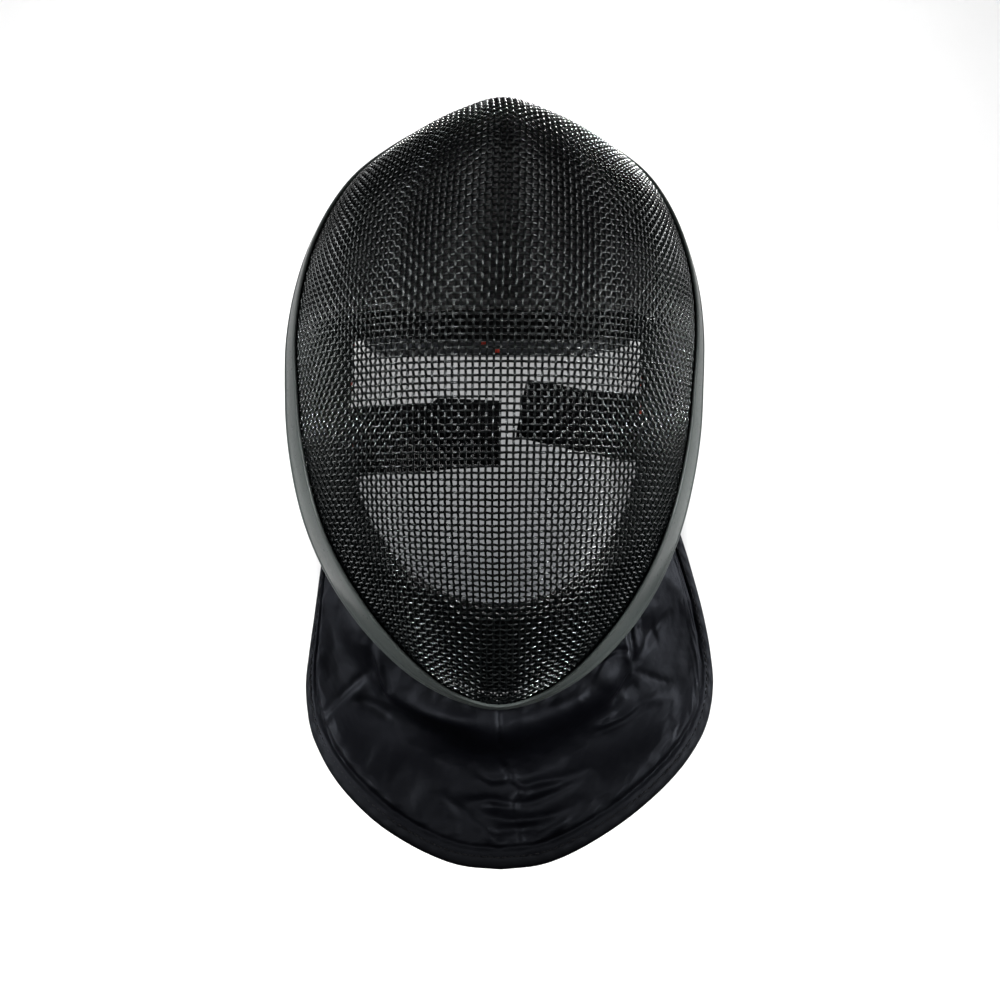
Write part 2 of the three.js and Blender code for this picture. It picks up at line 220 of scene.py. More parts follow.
def mesh_from(name, verts, faces, uv=None, smooth=True):
    """An object from points in millimetres (x, depth, height) and a list of face arrays (n, k)."""
    v = np.asarray(verts, float).reshape(-1, 3)
    out = np.stack([v[:, 0] + lean(v[:, 2]), v[:, 1] - SEAT_DEPTH, v[:, 2] - SEAT_HEIGHT], -1) / 1000
    groups = [np.asarray(f, np.int64) for f in (faces if isinstance(faces, (list, tuple)) else [faces])]
    groups = [f for f in groups if f.size]
    loops = np.concatenate([f.ravel() for f in groups])
    sizes = np.concatenate([np.full(len(f), f.shape[1]) for f in groups])
    starts = np.concatenate([[0], np.cumsum(sizes)[:-1]])
    me = bpy.data.meshes.new(name)
    me.vertices.add(len(out))
    me.vertices.foreach_set("co", out.astype(np.float32).ravel())
    me.loops.add(len(loops))
    me.loops.foreach_set("vertex_index", loops.astype(np.int32))
    me.polygons.add(len(sizes))
    me.polygons.foreach_set("loop_start", starts.astype(np.int32))
    me.polygons.foreach_set("loop_total", sizes.astype(np.int32))
    me.polygons.foreach_set("use_smooth", np.full(len(sizes), smooth))
    if uv is not None:
        layer = me.uv_layers.new(name="UVMap")
        layer.data.foreach_set("uv", np.asarray(uv, np.float32).reshape(-1, 2)[loops].ravel())
    me.update(calc_edges=True)
    me.validate(verbose=False)
    obj = bpy.data.objects.new(name, me)
    bpy.context.scene.collection.objects.link(obj)
    made.append(obj)
    return obj


def grid_faces(nu, nv, close_u=False, start=0, flip=False):
    """Quads of a grid of nu by nv points."""
    i = np.arange(nu if close_u else nu - 1)[:, None]
    j = np.arange(nv - 1)[None, :]
    i2 = (i + 1) % nu
    q = np.stack(np.broadcast_arrays(i * nv + j, i2 * nv + j, i2 * nv + j + 1, i * nv + j + 1), -1).reshape(-1, 4) + start
    return q[:, ::-1] if flip else q


def closed_sheet(name, top, bottom, uv=None, rim=None):
    """A closed form from two grids (nu, nv, 3) that share an edge: rim rows, if given, run between their borders."""
    nu, nv = top.shape[:2]
    border = ([(i, 0) for i in range(nu)] + [(nu - 1, j) for j in range(1, nv)]
              + [(i, nv - 1) for i in range(nu - 2, -1, -1)] + [(0, j) for j in range(nv - 2, 0, -1)])
    b = np.array(border)
    a_idx = b[:, 0] * nv + b[:, 1]
    c_idx = a_idx + nu * nv
    verts = [top.reshape(-1, 3), bottom.reshape(-1, 3)]
    faces = [grid_faces(nu, nv), grid_faces(nu, nv, start=nu * nv, flip=True)]
    rows = [a_idx]
    n = 2 * nu * nv
    T, B = top[b[:, 0], b[:, 1]], bottom[b[:, 0], b[:, 1]]
    if rim is not None:
        for share, out in rim:
            mid = T * (1 - share) + B * share
            # outward: away from the point next to the border
            inner = top[np.clip(b[:, 0], 1, nu - 2), np.clip(b[:, 1], 1, nv - 2)] * (1 - share) + bottom[np.clip(b[:, 0], 1, nu - 2), np.clip(b[:, 1], 1, nv - 2)] * share
            verts.append(mid + unit(mid - inner) * out)
            rows.append(np.arange(len(b)) + n)
            n += len(b)
    rows.append(c_idx)
    for r0, r1 in zip(rows[:-1], rows[1:]):
        k = np.arange(len(b))
        k2 = (k + 1) % len(b)
        faces.append(np.stack([r0[k2], r0[k], r1[k], r1[k2]], -1))
    allv = np.concatenate(verts)
    uvs = None
    if uv is not None:
        u = uv.reshape(-1, 2)
        edge = u[a_idx]
        uvs = np.concatenate([u, u] + [edge] * (len(rows) - 2))
    # the faces look outward if the form's volume is positive
    tri = np.concatenate([f[:, [0, 1, 2]] for f in faces] + [f[:, [0, 2, 3]] for f in faces])
    p = allv[tri]
    vol = np.einsum("ij,ij->i", p[:, 0], np.cross(p[:, 1], p[:, 2])).sum()
    if vol < 0:
        faces = [f[:, ::-1] for f in faces]
    return mesh_from(name, allv, faces, uvs)


def loft(name, rings, close_u=True, caps=False, uv=None, flip=False):
    """A skin over rings (nu, nv, 3), each ring closed on itself."""
    nu, nv = rings.shape[:2]
    i = np.arange(nu if close_u else nu - 1)[:, None]
    j = np.arange(nv)[None, :]
    i2, j2 = (i + 1) % nu, (j + 1) % nv
    q = np.stack(np.broadcast_arrays(i * nv + j, i2 * nv + j, i2 * nv + j2, i * nv + j2), -1).reshape(-1, 4)
    faces = [q]
    if caps:
        faces += [np.arange(nv)[::-1][None, :], ((nu - 1) * nv + np.arange(nv))[None, :]]
    if flip:
        faces = [f[:, ::-1] for f in faces]
    return mesh_from(name, rings, faces, uv)


def finish_piece(obj, material, node=None, extra=()):
    obj.data.materials.append(material)
    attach(obj, ROOT)
    if node:
        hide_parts(node)
    return obj


# ------------------------------------------------------------------ materials
class Mat:
    """A small helper to write node materials."""

    def __init__(self, name, rough=0.5, metal=0.0, spec=0.5, sheen=0.0, sheen_rough=0.5, coat=0.0, aniso=0.0):
        self.m = bpy.data.materials.new(name)
        self.m.use_nodes = True
        self.t = self.m.node_tree
        self.b = self.t.nodes["Principled BSDF"]
        i = self.b.inputs
        i["Roughness"].default_value = rough
        i["Metallic"].default_value = metal
        i["Specular IOR Level"].default_value = spec
        i["Sheen Weight"].default_value = sheen
        i["Sheen Roughness"].default_value = sheen_rough
        i["Coat Weight"].default_value = coat
        i["Anisotropic"].default_value = aniso
        self.normal = None

    def node(self, kind, **inputs):
        n = self.t.nodes.new(kind)
        for k, v in inputs.items():
            if k in n.inputs:
                n.inputs[k].default_value = v
            else:
                setattr(n, k, v)
        return n

    def link(self, a, b):
        self.t.links.new(a, b)

    def coords(self, kind="Object", scale=(1, 1, 1), turn=(0, 0, 0)):
        tc = self.node("ShaderNodeTexCoord")
        mp = self.node("ShaderNodeMapping")
        mp.inputs["Scale"].default_value = scale
        mp.inputs["Rotation"].default_value = turn
        self.link(tc.outputs[kind], mp.inputs["Vector"])
        return mp.outputs["Vector"]

    def noise(self, vec, scale, detail=4, rough=0.55, distortion=0.0):
        n = self.node("ShaderNodeTexNoise")
        n.inputs["Scale"].default_value = scale
        n.inputs["Detail"].default_value = detail
        n.inputs["Roughness"].default_value = rough
        n.inputs["Distortion"].default_value = distortion
        self.link(vec, n.inputs["Vector"])
        return n.outputs["Fac"]

    def ramp(self, fac, stops):
        r = self.node("ShaderNodeValToRGB")
        e = r.color_ramp.elements
        e[0].position, e[0].color = stops[0][0], (*stops[0][1], 1)
        e[1].position, e[1].color = stops[-1][0], (*stops[-1][1], 1)
        for p, c in stops[1:-1]:
            k = e.new(p)
            k.color = (*c, 1)
        self.link(fac, r.inputs["Fac"])
        return r.outputs["Color"]

    def span(self, fac, lo, hi, a=0.0, b=1.0):
        r = self.node("ShaderNodeMapRange")
        for k, v in (("From Min", a), ("From Max", b), ("To Min", lo), ("To Max", hi)):
            r.inputs[k].default_value = v
        self.link(fac, r.inputs["Value"])
        return r.outputs["Result"]

    def math(self, op, a, b=None):
        n = self.node("ShaderNodeMath", operation=op)
        for k, v in enumerate((a, b)):
            if v is None:
                continue
            if isinstance(v, (int, float)):
                n.inputs[k].default_value = v
            else:
                self.link(v, n.inputs[k])
        return n.outputs[0]

    def bump(self, height, strength, distance):
        n = self.node("ShaderNodeBump")
        n.inputs["Strength"].default_value = strength
        n.inputs["Distance"].default_value = distance
        self.link(height, n.inputs["Height"])
        if self.normal is not None:
            self.link(self.normal, n.inputs["Normal"])
        self.normal = n.outputs["Normal"]

    def done(self, color, rough=None):
        self.link(color, self.b.inputs["Base Color"])
        if rough is not None:
            self.link(rough, self.b.inputs["Roughness"])
        if self.normal is not None:
            self.link(self.normal, self.b.inputs["Normal"])
        return self.m

    def threads(self, vec, pitch, twill=False):
        """Height of a plain weave or twill, pitch in the vector's units, from two crossed waves."""
        sep = self.node("ShaderNodeSeparateXYZ")
        self.link(vec, sep.inputs[0])
        k = math.pi / pitch
        a = self.math("SINE", self.math("MULTIPLY", sep.outputs[0], k))
        b = self.math("SINE", self.math("MULTIPLY", sep.outputs[1], k))
        if twill:
            d = self.math("SINE", self.math("MULTIPLY", self.math("ADD", sep.outputs[0], sep.outputs[1]), k))
            return self.math("ADD", self.math("ABSOLUTE", a), self.math("MULTIPLY", d, 0.6))
        return self.math("ADD", self.math("ABSOLUTE", self.math("MULTIPLY", a, b)), self.math("MULTIPLY", self.math("ABSOLUTE", a), 0.3))


def wire_material():
    m = Mat("wire_lacquer", rough=0.2, metal=0.0, spec=0.6)
    m.b.inputs["Specular Tint"].default_value = (0.93, 1.0, 1.0, 1)
    v = m.coords()
    broad = m.noise(v, 40, 3)
    fine = m.noise(v, 1800, 3, 0.6)
    color = m.ramp(m.math("ADD", m.math("MULTIPLY", broad, 0.6), m.math("MULTIPLY", fine, 0.4)),
                   [(0.35, (0.0008, 0.0011, 0.0012)), (0.55, (0.0018, 0.0023, 0.0024)), (0.72, (0.005, 0.006, 0.0062))])
    m.bump(fine, 0.25, 0.00005)
    return m.done(color, m.span(fine, 0.16, 0.25, 0.3, 0.7))


def trim_material():
    m = Mat("trim_satin", rough=0.32, spec=0.1)
    v = m.coords()
    broad = m.noise(v, 14, 4, 0.5)
    fine = m.noise(v, 2600, 2, 0.5)
    grain = m.noise(v, 420, 5, 0.6)
    color = m.ramp(m.math("ADD", m.math("MULTIPLY", broad, 0.55), m.math("MULTIPLY", grain, 0.45)),
                   [(0.3, (0.050, 0.058, 0.056)), (0.55, (0.063, 0.072, 0.069)), (0.75, (0.078, 0.087, 0.083))])
    # painted shade: the moulding's colour is darkened in a band over the lower jaw, standing in for the shade that
    # falls there
    sep = m.node("ShaderNodeSeparateXYZ")
    m.link(v, sep.inputs[0])
    deep = m.node("ShaderNodeMix", data_type="RGBA", blend_type="MULTIPLY")
    deep.inputs[0].default_value = 1.0
    m.link(color, deep.inputs[6])
    m.link(m.ramp(m.span(sep.outputs[2], 0.0, 1.0, -0.29, -0.19), [(0.0, (0.85, 0.85, 0.85)), (0.4, (0.8, 0.8, 0.8)), (0.6, (0.6, 0.6, 0.6)), (0.85, (0.68, 0.68, 0.68)), (1.0, (0.96, 0.96, 0.96))]), deep.inputs[7])
    m.bump(fine, 0.12, 0.00004)
    m.bump(grain, 0.1, 0.0001)
    return m.done(deep.outputs[2], m.span(grain, 0.26, 0.38, 0.3, 0.7))


def cloth_material(name, dark, light, pitch, rough=0.9, sheen=0.15, spec=0.25, strength=0.5, depth=0.0002, twill=False, blotch=30, uv=True, fuzz=1500):
    """Woven or knitted cloth: thread relief along the piece's own directions, blotches and fuzz."""
    m = Mat(name, rough=rough, spec=spec, sheen=sheen, sheen_rough=0.55)
    # the piece's own map is in metres along and across it
    v = m.coords("UV" if uv else "Object", (1, 1, 1))
    o = m.coords()
    weave = m.threads(v, pitch, twill)
    broad = m.noise(o, blotch, 4)
    fine = m.noise(o, fuzz, 3, 0.65)
    mix = m.math("ADD", m.math("MULTIPLY", broad, 0.45), m.math("ADD", m.math("MULTIPLY", fine, 0.3), m.math("MULTIPLY", weave, 0.22)))
    mid = tuple((a + b) / 2 for a, b in zip(dark, light))
    color = m.ramp(mix, [(0.25, dark), (0.5, mid), (0.8, light)])
    m.bump(weave, strength, depth)
    m.bump(fine, 0.25, 0.0001)
    return m.done(color, m.span(broad, rough - 0.06, min(1.0, rough + 0.06), 0.3, 0.7))


def satin_material(name, dark, light, rough):
    m = Mat(name, rough=rough, spec=0.12, sheen=0.0, sheen_rough=0.4, aniso=0.35)
    v = m.coords("UV")
    o = m.coords()
    m.b.inputs["Specular Tint"].default_value = (0.8, 0.86, 1.0, 1)
    weave = m.threads(v, 0.00042, True)
    broad = m.noise(o, 22, 5, 0.5, 0.4)
    fine = m.noise(o, 1400, 2, 0.5)
    slub = m.noise(m.coords("UV", (60, 2600, 1)), 1.0, 3, 0.6)
    color = m.ramp(m.math("ADD", m.math("MULTIPLY", broad, 0.5), m.math("ADD", m.math("MULTIPLY", slub, 0.3), m.math("MULTIPLY", weave, 0.12))),
                   [(0.25, dark), (0.5, tuple((a + b) / 2 for a, b in zip(dark, light))), (0.75, light)])
    m.bump(weave, 0.16, 0.00008)
    m.bump(slub, 0.12, 0.00008)
    m.bump(m.noise(o, 170, 4, 0.5, 0.6), 0.22, 0.0009)
    return m.done(color, m.span(broad, rough - 0.06, rough + 0.08, 0.3, 0.7))


def thread_material(name, dark, light):
    m = Mat(name, rough=0.65, spec=0.15, sheen=0.02)
    o = m.coords()
    fine = m.noise(o, 3000, 3, 0.6)
    twist = m.noise(m.coords("Object", (1, 1, 5)), 900, 2)
    color = m.ramp(m.math("ADD", m.math("MULTIPLY", fine, 0.5), m.math("MULTIPLY", twist, 0.5)), [(0.3, dark), (0.7, light)])
    m.bump(twist, 0.5, 0.0001)
    return m.done(color, m.span(fine, 0.5, 0.7, 0.3, 0.7))


MATS = dict(
    wire=wire_material(),
    trim=trim_material(),
    crown=cloth_material("crown_knit", (0.046, 0.046, 0.048), (0.096, 0.095, 0.097), 0.0011, sheen=0.25, depth=0.0003),
    pad=cloth_material("pad_knit", (0.0014, 0.0016, 0.0018), (0.004, 0.0043, 0.0048), 0.0011, sheen=0.03, spec=0.05, depth=0.0003),
    tongue=cloth_material("tongue_cloth", (0.0014, 0.0014, 0.0017), (0.004, 0.004, 0.0046), 0.0008, sheen=0.03, spec=0.05),
    binding=cloth_material("binding_tape", (0.032, 0.037, 0.043), (0.062, 0.070, 0.080), 0.0007, rough=0.7, sheen=0.15),
    webbing=cloth_material("webbing", (0.0006, 0.0006, 0.0008), (0.0022, 0.0022, 0.0026), 0.0014, rough=0.85, sheen=0.02, spec=0.03, strength=0.8, depth=0.0004),
    patch=cloth_material("hook_patch", (0.004, 0.004, 0.0045), (0.013, 0.013, 0.014), 0.0009, rough=0.75, strength=0.9, depth=0.0005),
    satin=satin_material("bib_satin", (0.0004, 0.0004, 0.0008), (0.0012, 0.0013, 0.0021), 0.5),
    hem=satin_material("hem_satin", (0.0008, 0.0008, 0.0011), (0.0022, 0.0022, 0.0029), 0.55),
    thread=thread_material("black_thread", (0.001, 0.001, 0.0014), (0.004, 0.004, 0.0048)),
    red=thread_material("red_thread", (0.42, 0.03, 0.016), (0.75, 0.07, 0.035)),
)


# ------------------------------------------------------------------ the woven wire
def disc_surface(q):
    """The bowl over a flat disc of q; past its edge it runs straight on."""
    t = np.hypot(q[..., 0], q[..., 1])
    a = np.degrees(np.arctan2(q[..., 0], q[..., 1]))
    p = bowl(a, np.minimum(t, 1))
    over = np.maximum(t - 1, 0)
    if np.any(over > 0):
        d = (bowl(a, 1.0) - bowl(a, 0.99)) / 0.01
        p = p + d * over[..., None]
    return p


def quadrant(down):
    """Corners of a net of equal rods laid from the middle column and the middle row, over one quarter of the bowl."""
    end = 180.0 if down else 0.0

    def seeds(angle):
        t = np.linspace(0, 1.15, 2400)
        q = np.stack([t * math.sin(math.radians(angle)), t * math.cos(math.radians(angle))], -1)
        p = disc_surface(q)
        s = np.concatenate([[0], np.cumsum(np.linalg.norm(np.diff(p, axis=0), axis=1))])
        n = int(s[-1] / PITCH)
        tt = np.interp(np.arange(n + 1) * PITCH, s, t)
        return np.stack([tt * math.sin(math.radians(angle)), tt * math.cos(math.radians(angle))], -1)

    row, col = seeds(90.0), seeds(end)
    n, m = len(row), len(col)
    Q = np.full((n, m, 2), np.nan)
    Q[:, 0], Q[0, :] = row, col
    P = np.full((n, m, 3), np.nan)
    P[:, 0], P[0, :] = disc_surface(row), disc_surface(col)
    for diag in range(2, n + m - 1):
        i = np.arange(max(1, diag - m + 1), min(n - 1, diag - 1) + 1)
        j = diag - i
        ok = np.isfinite(P[i - 1, j, 0]) & np.isfinite(P[i, j - 1, 0]) & np.isfinite(P[i - 1, j - 1, 0])
        i, j = i[ok], j[ok]
        if not len(i):
            continue
        U, V = P[i - 1, j], P[i, j - 1]
        q = Q[i - 1, j] + Q[i, j - 1] - Q[i - 1, j - 1]
        e = 1e-4
        for _ in range(7):
            p = disc_surface(q)
            du = (disc_surface(q + [e, 0]) - p) / e
            dv = (disc_surface(q + [0, e]) - p) / e
            a1, b1 = p - U, p - V
            la, lb = np.linalg.norm(a1, axis=1), np.linalg.norm(b1, axis=1)
            f = np.stack([la - PITCH, lb - PITCH], -1)
            J = np.empty((len(i), 2, 2))
            J[:, 0, 0] = (a1 * du).sum(1) / la
            J[:, 0, 1] = (a1 * dv).sum(1) / la
            J[:, 1, 0] = (b1 * du).sum(1) / lb
            J[:, 1, 1] = (b1 * dv).sum(1) / lb
            det = J[:, 0, 0] * J[:, 1, 1] - J[:, 0, 1] * J[:, 1, 0]
            det = np.where(np.abs(det) < 1e-3, 1e-3, det)
            step = np.stack([J[:, 1, 1] * f[:, 0] - J[:, 0, 1] * f[:, 1], J[:, 0, 0] * f[:, 1] - J[:, 1, 0] * f[:, 0]], -1) / det[:, None]
            step = np.clip(step, -0.02, 0.02)
            q = q - step
        p = disc_surface(q)
        good = (np.abs(np.linalg.norm(p - U, axis=1) - PITCH) < 0.1) & (np.abs(np.linalg.norm(p - V, axis=1) - PITCH) < 0.1) & (np.hypot(q[:, 0], q[:, 1]) < 1.13)
        good &= np.linalg.norm(p - P[i - 1, j - 1], axis=1) > 0.3
        Q[i[good], j[good]] = q[good]
        P[i[good], j[good]] = p[good]
    return Q


def woven_net():
    up, dn = quadrant(False), quadrant(True)
    n = max(up.shape[0], dn.shape[0])
    mu, md = up.shape[1], dn.shape[1]
    Q = np.full((2 * n - 1, mu + md - 1, 2), np.nan)
    c, r = n - 1, md - 1
    Q[c:c + up.shape[0], r:r + mu] = up
    Q[c:c + dn.shape[0], r - md + 1:r + 1] = dn[:, ::-1]
    left = Q[c:][::-1].copy()
    left[..., 0] *= -1
    Q[:c + 1] = left
    t = np.hypot(Q[..., 0], Q[..., 1])
    with np.errstate(invalid="ignore"):
        valid = t < 0.9935
    a = np.degrees(np.arctan2(np.where(valid, Q[..., 0], 0), np.where(valid, Q[..., 1], 0)))
    tt = np.where(valid, t, 0.5)
    N = bowl_normal(a, tt)
    P = bowl(a, tt) - N * 1.0
    return P, N, valid, c, r


def wires(P, N, valid, parity, sides=6):
    """Round wires along the first index's rows: over and under the others in turn, with flat crests."""
    amp, rad = CRIMP, WIRE / 2
    rings, faces, base = [], [], 0
    ang = np.arange(sides) * 2 * math.pi / sides
    caps = []
    for k in range(P.shape[0]):
        idx = np.flatnonzero(valid[k])
        if len(idx) < 2:
            continue
        for run in np.split(idx, np.flatnonzero(np.diff(idx) > 1) + 1):
            if len(run) < 2:
                continue
            p, nn = P[k, run], N[k, run]
            sign = np.where((run + k + parity) % 2 == 0, 1.0, -1.0)[:, None]
            step = np.diff(p, axis=0)
            ahead = np.concatenate([step, step[-1:]])
            back = np.concatenate([step[:1], step])
            s = np.empty((2 * len(run), 3))
            m = np.empty_like(s)
            s[0::2] = p - back * 0.23 + nn * amp * sign
            s[1::2] = p + ahead * 0.23 + nn * amp * sign
            m[0::2] = m[1::2] = nn
            tan = unit(np.concatenate([s[1:2] - s[:1], s[2:] - s[:-2], s[-1:] - s[-2:-1]]))
            nor = unit(m - (m * tan).sum(1, keepdims=True) * tan)
            bi = np.cross(tan, nor)
            ring = s[:, None] + rad * (np.cos(ang)[None, :, None] * nor[:, None] + np.sin(ang)[None, :, None] * bi[:, None])
            c = len(s)
            i = np.arange(c - 1)[:, None]
            j = np.arange(sides)[None, :]
            j2 = (j + 1) % sides
            q = np.stack(np.broadcast_arrays(i * sides + j, i * sides + j2, (i + 1) * sides + j2, (i + 1) * sides + j), -1).reshape(-1, 4)
            faces.append(q + base)
            caps.append((np.arange(sides)[::-1] + base)[None, :])
            caps.append((np.arange(sides) + base + (c - 1) * sides)[None, :])
            rings.append(ring.reshape(-1, 3))
            base += c * sides
    return np.concatenate(rings), [np.concatenate(faces), np.concatenate(caps)]


P, N, valid, mid_col, mid_row = woven_net()
# columns of wire, left and right of the middle, and rows of wire, above and below the foremost point
pieces = (
    ("wire_columns_left", P[:mid_col], N[:mid_col], valid[:mid_col], 0),
    ("wire_columns_right", P[mid_col:], N[mid_col:], valid[mid_col:], mid_col % 2),
)
for name, p, n_, ok, parity in pieces:
    v, f = wires(p, n_, ok, parity)
    finish_piece(mesh_from(name, v, f), MATS["wire"], "wire_bowl")
Pt, Nt, vt = P.transpose(1, 0, 2), N.transpose(1, 0, 2), valid.T
half = mid_row + 12
for name, p, n_, ok, parity in (
    ("wire_rows_lower", Pt[:half], Nt[:half], vt[:half], 1),
    ("wire_rows_upper", Pt[half:], Nt[half:], vt[half:], (half + 1) % 2),
):
    v, f = wires(p, n_, ok, parity)
    finish_piece(mesh_from(name, v, f), MATS["wire"], "wire_bowl")
print("wire crossings", int(valid.sum()))


# ------------------------------------------------------------------ moulded trim
def make_trim():
    angles = np.arange(0, 360, 1.5)
    w = round_table(TRIM_WIDTH, "width", angles)
    lip = np.minimum(6.0, w)
    # share of the band's width, plain distance from the edge, offset from the wire's front
    profile = [
        ("w", 1.0, 0.63), ("w", 1.0, 1.35), ("w", 0.985, 1.75), ("w", 0.955, 1.95), ("w", 0.9, 2.02), ("w", 0.7, 2.12), ("w", 0.5, 2.18),
        ("w", 0.3, 2.14), ("m", 2.9, 2.02), ("m", 2.3, 1.98), ("m", 1.7, 2.25), ("m", 0.9, 2.5), ("m", 0.0, 2.42), ("m", -0.9, 2.0),
        ("m", -1.6, 1.2), ("m", -1.95, 0.0), ("m", -1.95, -1.6), ("m", -1.6, -3.2), ("m", -0.8, -4.05), ("m", 0.4, -4.25), ("l", 0.8, -4.2),
        ("l", 0.97, -4.0), ("l", 1.0, -3.5), ("l", 1.0, -2.8), ("m", 0.3, -2.8), ("m", -0.35, -2.5), ("m", -0.35, 0.4), ("m", 0.6, 0.63),
    ]
    rings = np.empty((len(angles), len(profile), 3))
    edge_dir = unit(bowl(angles, 1.0) - bowl(angles, 0.99))
    for k, (kind, x, off) in enumerate(profile):
        back = w * x if kind == "w" else lip * x if kind == "l" else np.full(len(angles), x)
        if kind == "m":
            back = np.minimum(back, w * 0.75)
        inside = np.maximum(back, 0)
        t = from_edge(angles, inside)
        rings[:, k] = shell(angles, t, np.full(len(angles), off)) - edge_dir * np.minimum(back, 0)[:, None]
    uv = np.stack(np.broadcast_arrays(np.arange(len(angles))[:, None] * 0.0031, np.arange(len(profile))[None, :] * 0.0015), -1)
    obj = loft("rim_trim_moulding", rings, close_u=True, uv=uv)
    return finish_piece(obj, MATS["trim"], "rim_trim")


make_trim()


# ------------------------------------------------------------------ pads behind the wire
def noise2(x, y, seed, scale):
    """Smooth made-up waves in two directions, from -1 to 1."""
    g = np.random.default_rng(seed)
    out = np.zeros(np.broadcast(x, y).shape)
    total = 0
    for octave in range(4):
        k = 2**octave / scale
        for _ in range(3):
            th, ph = g.uniform(0, 2 * math.pi, 2)
            out = out + np.sin((x * math.cos(th) + y * math.sin(th)) * k * 2 * math.pi + ph) * 0.6**octave
            total += 0.6**octave
    return out / total * 1.8


def make_pad(name, node, start, end, thick, stop, material, nu=90, nv=34, seed=1, channels=()):
    u = np.linspace(0, 1, nu)
    v = np.linspace(0, 1, nv)
    angle = start + (end - start) * u
    t0 = at_radius(angle, round_table(WINDOW, "radius", angle))
    t1 = from_edge(angle, stop)
    # points gather at the edges, where the pad rounds off
    vv = 0.5 - 0.5 * np.cos(math.pi * v)
    uu = u
    A = np.broadcast_to(angle[:, None], (nu, nv))
    T = t0[:, None] + (t1 - t0)[:, None] * vv[None, :]
    base = bowl(A, T)
    along = np.concatenate([np.zeros((nu, 1)), np.cumsum(np.linalg.norm(np.diff(base, axis=1), axis=-1), axis=1)], 1)
    width = along[:, -1:]
    mid = base[:, nv // 2]
    run = np.concatenate([[0], np.cumsum(np.linalg.norm(np.diff(mid, axis=0), axis=-1))])
    length = run[-1]
    d_v = np.minimum(along, width - along)
    d_u = np.minimum(run, length - run)[:, None]
    d = np.minimum(d_v, d_u + 3.0)
    # the long edges round off, the ends stand close to the next pad
    fall = np.sqrt(np.clip(1 - (1 - np.clip(d_v / 9.0, 0, 1)) ** 2, 0, 1))
    tip = np.sqrt(np.clip(1 - (1 - np.clip(d_u / 2.5, 0, 1)) ** 2, 0, 1))
    crown = (0.3 + 0.7 * fall) * (0.86 + 0.14 * tip)
    # a stitched line runs round inside the edge, and the face is a little uneven
    seam = np.exp(-(((d - 8.5) / 1.1) ** 2)) * 1.3
    for share in channels:
        seam = seam + np.exp(-(((run[:, None] - share * length) / 1.6) ** 2)) * 2.0 * (d_v > 9)
    bump = noise2(run[:, None] + 0 * along, along, seed, 34.0) * 0.55
    inner = thick * crown - seam + bump * fall
    outer = (1 - fall) * thick * np.where(along < width / 2, 0.2, 0.03)
    n = bowl_normal(A, T)
    back_face = bowl(A, T) - n * (5.1 + np.minimum(outer, thick * 0.3))[..., None]
    head_face = bowl(A, T) - n * (5.1 + np.maximum(inner, thick * 0.36))[..., None]
    uv = np.stack(np.broadcast_arrays(run[:, None] / 1000, along / 1000), -1)
    obj = closed_sheet(name, back_face, head_face, uv, rim=((0.5, 0.6),))
    finish_piece(obj, MATS[material], node)
    return obj, (angle, along, head_face, n)


crown, _crown = make_pad("crown_pad_cushion", "crown_pad", -68.2, 68.2, 11.5, 11.5, "crown", nu=150, nv=60, seed=3, channels=(0.26, 0.5, 0.74))
side_l, form_l = make_pad("side_pad_left_cushion", "side_pad_left", -68.7, -125.2, 14.5, 4, "pad", nu=70, nv=34, seed=4)
side_r, form_r = make_pad("side_pad_right_cushion", "side_pad_right", 68.7, 125.2, 14.5, 4, "pad", nu=70, nv=34, seed=5)
chin, form_c = make_pad("chin_pad_cushion", "chin_pad", 125.6, 234.4, 14.5, 4, "pad", nu=120, nv=34, seed=6, channels=(0.5,))


# ------------------------------------------------------------------ tongue behind the head
def tongue_at(x, v):
    return np.stack([
        x,
        column(TONGUE_PATH, "depth", v) - 17 * (x / 72) ** 2,
        column(TONGUE_PATH, "height", v) - column(TONGUE_PATH, "drop", v) * (x / column(TONGUE_PATH, "half", v)) ** 2,
    ], -1)


def tongue_sheet(u, v):
    return tongue_at((2 * u - 1) * column(TONGUE_PATH, "half", v), v)


def grid_normals(g):
    du = np.gradient(g, axis=0)
    dv = np.gradient(g, axis=1)
    return unit(np.cross(du, dv))


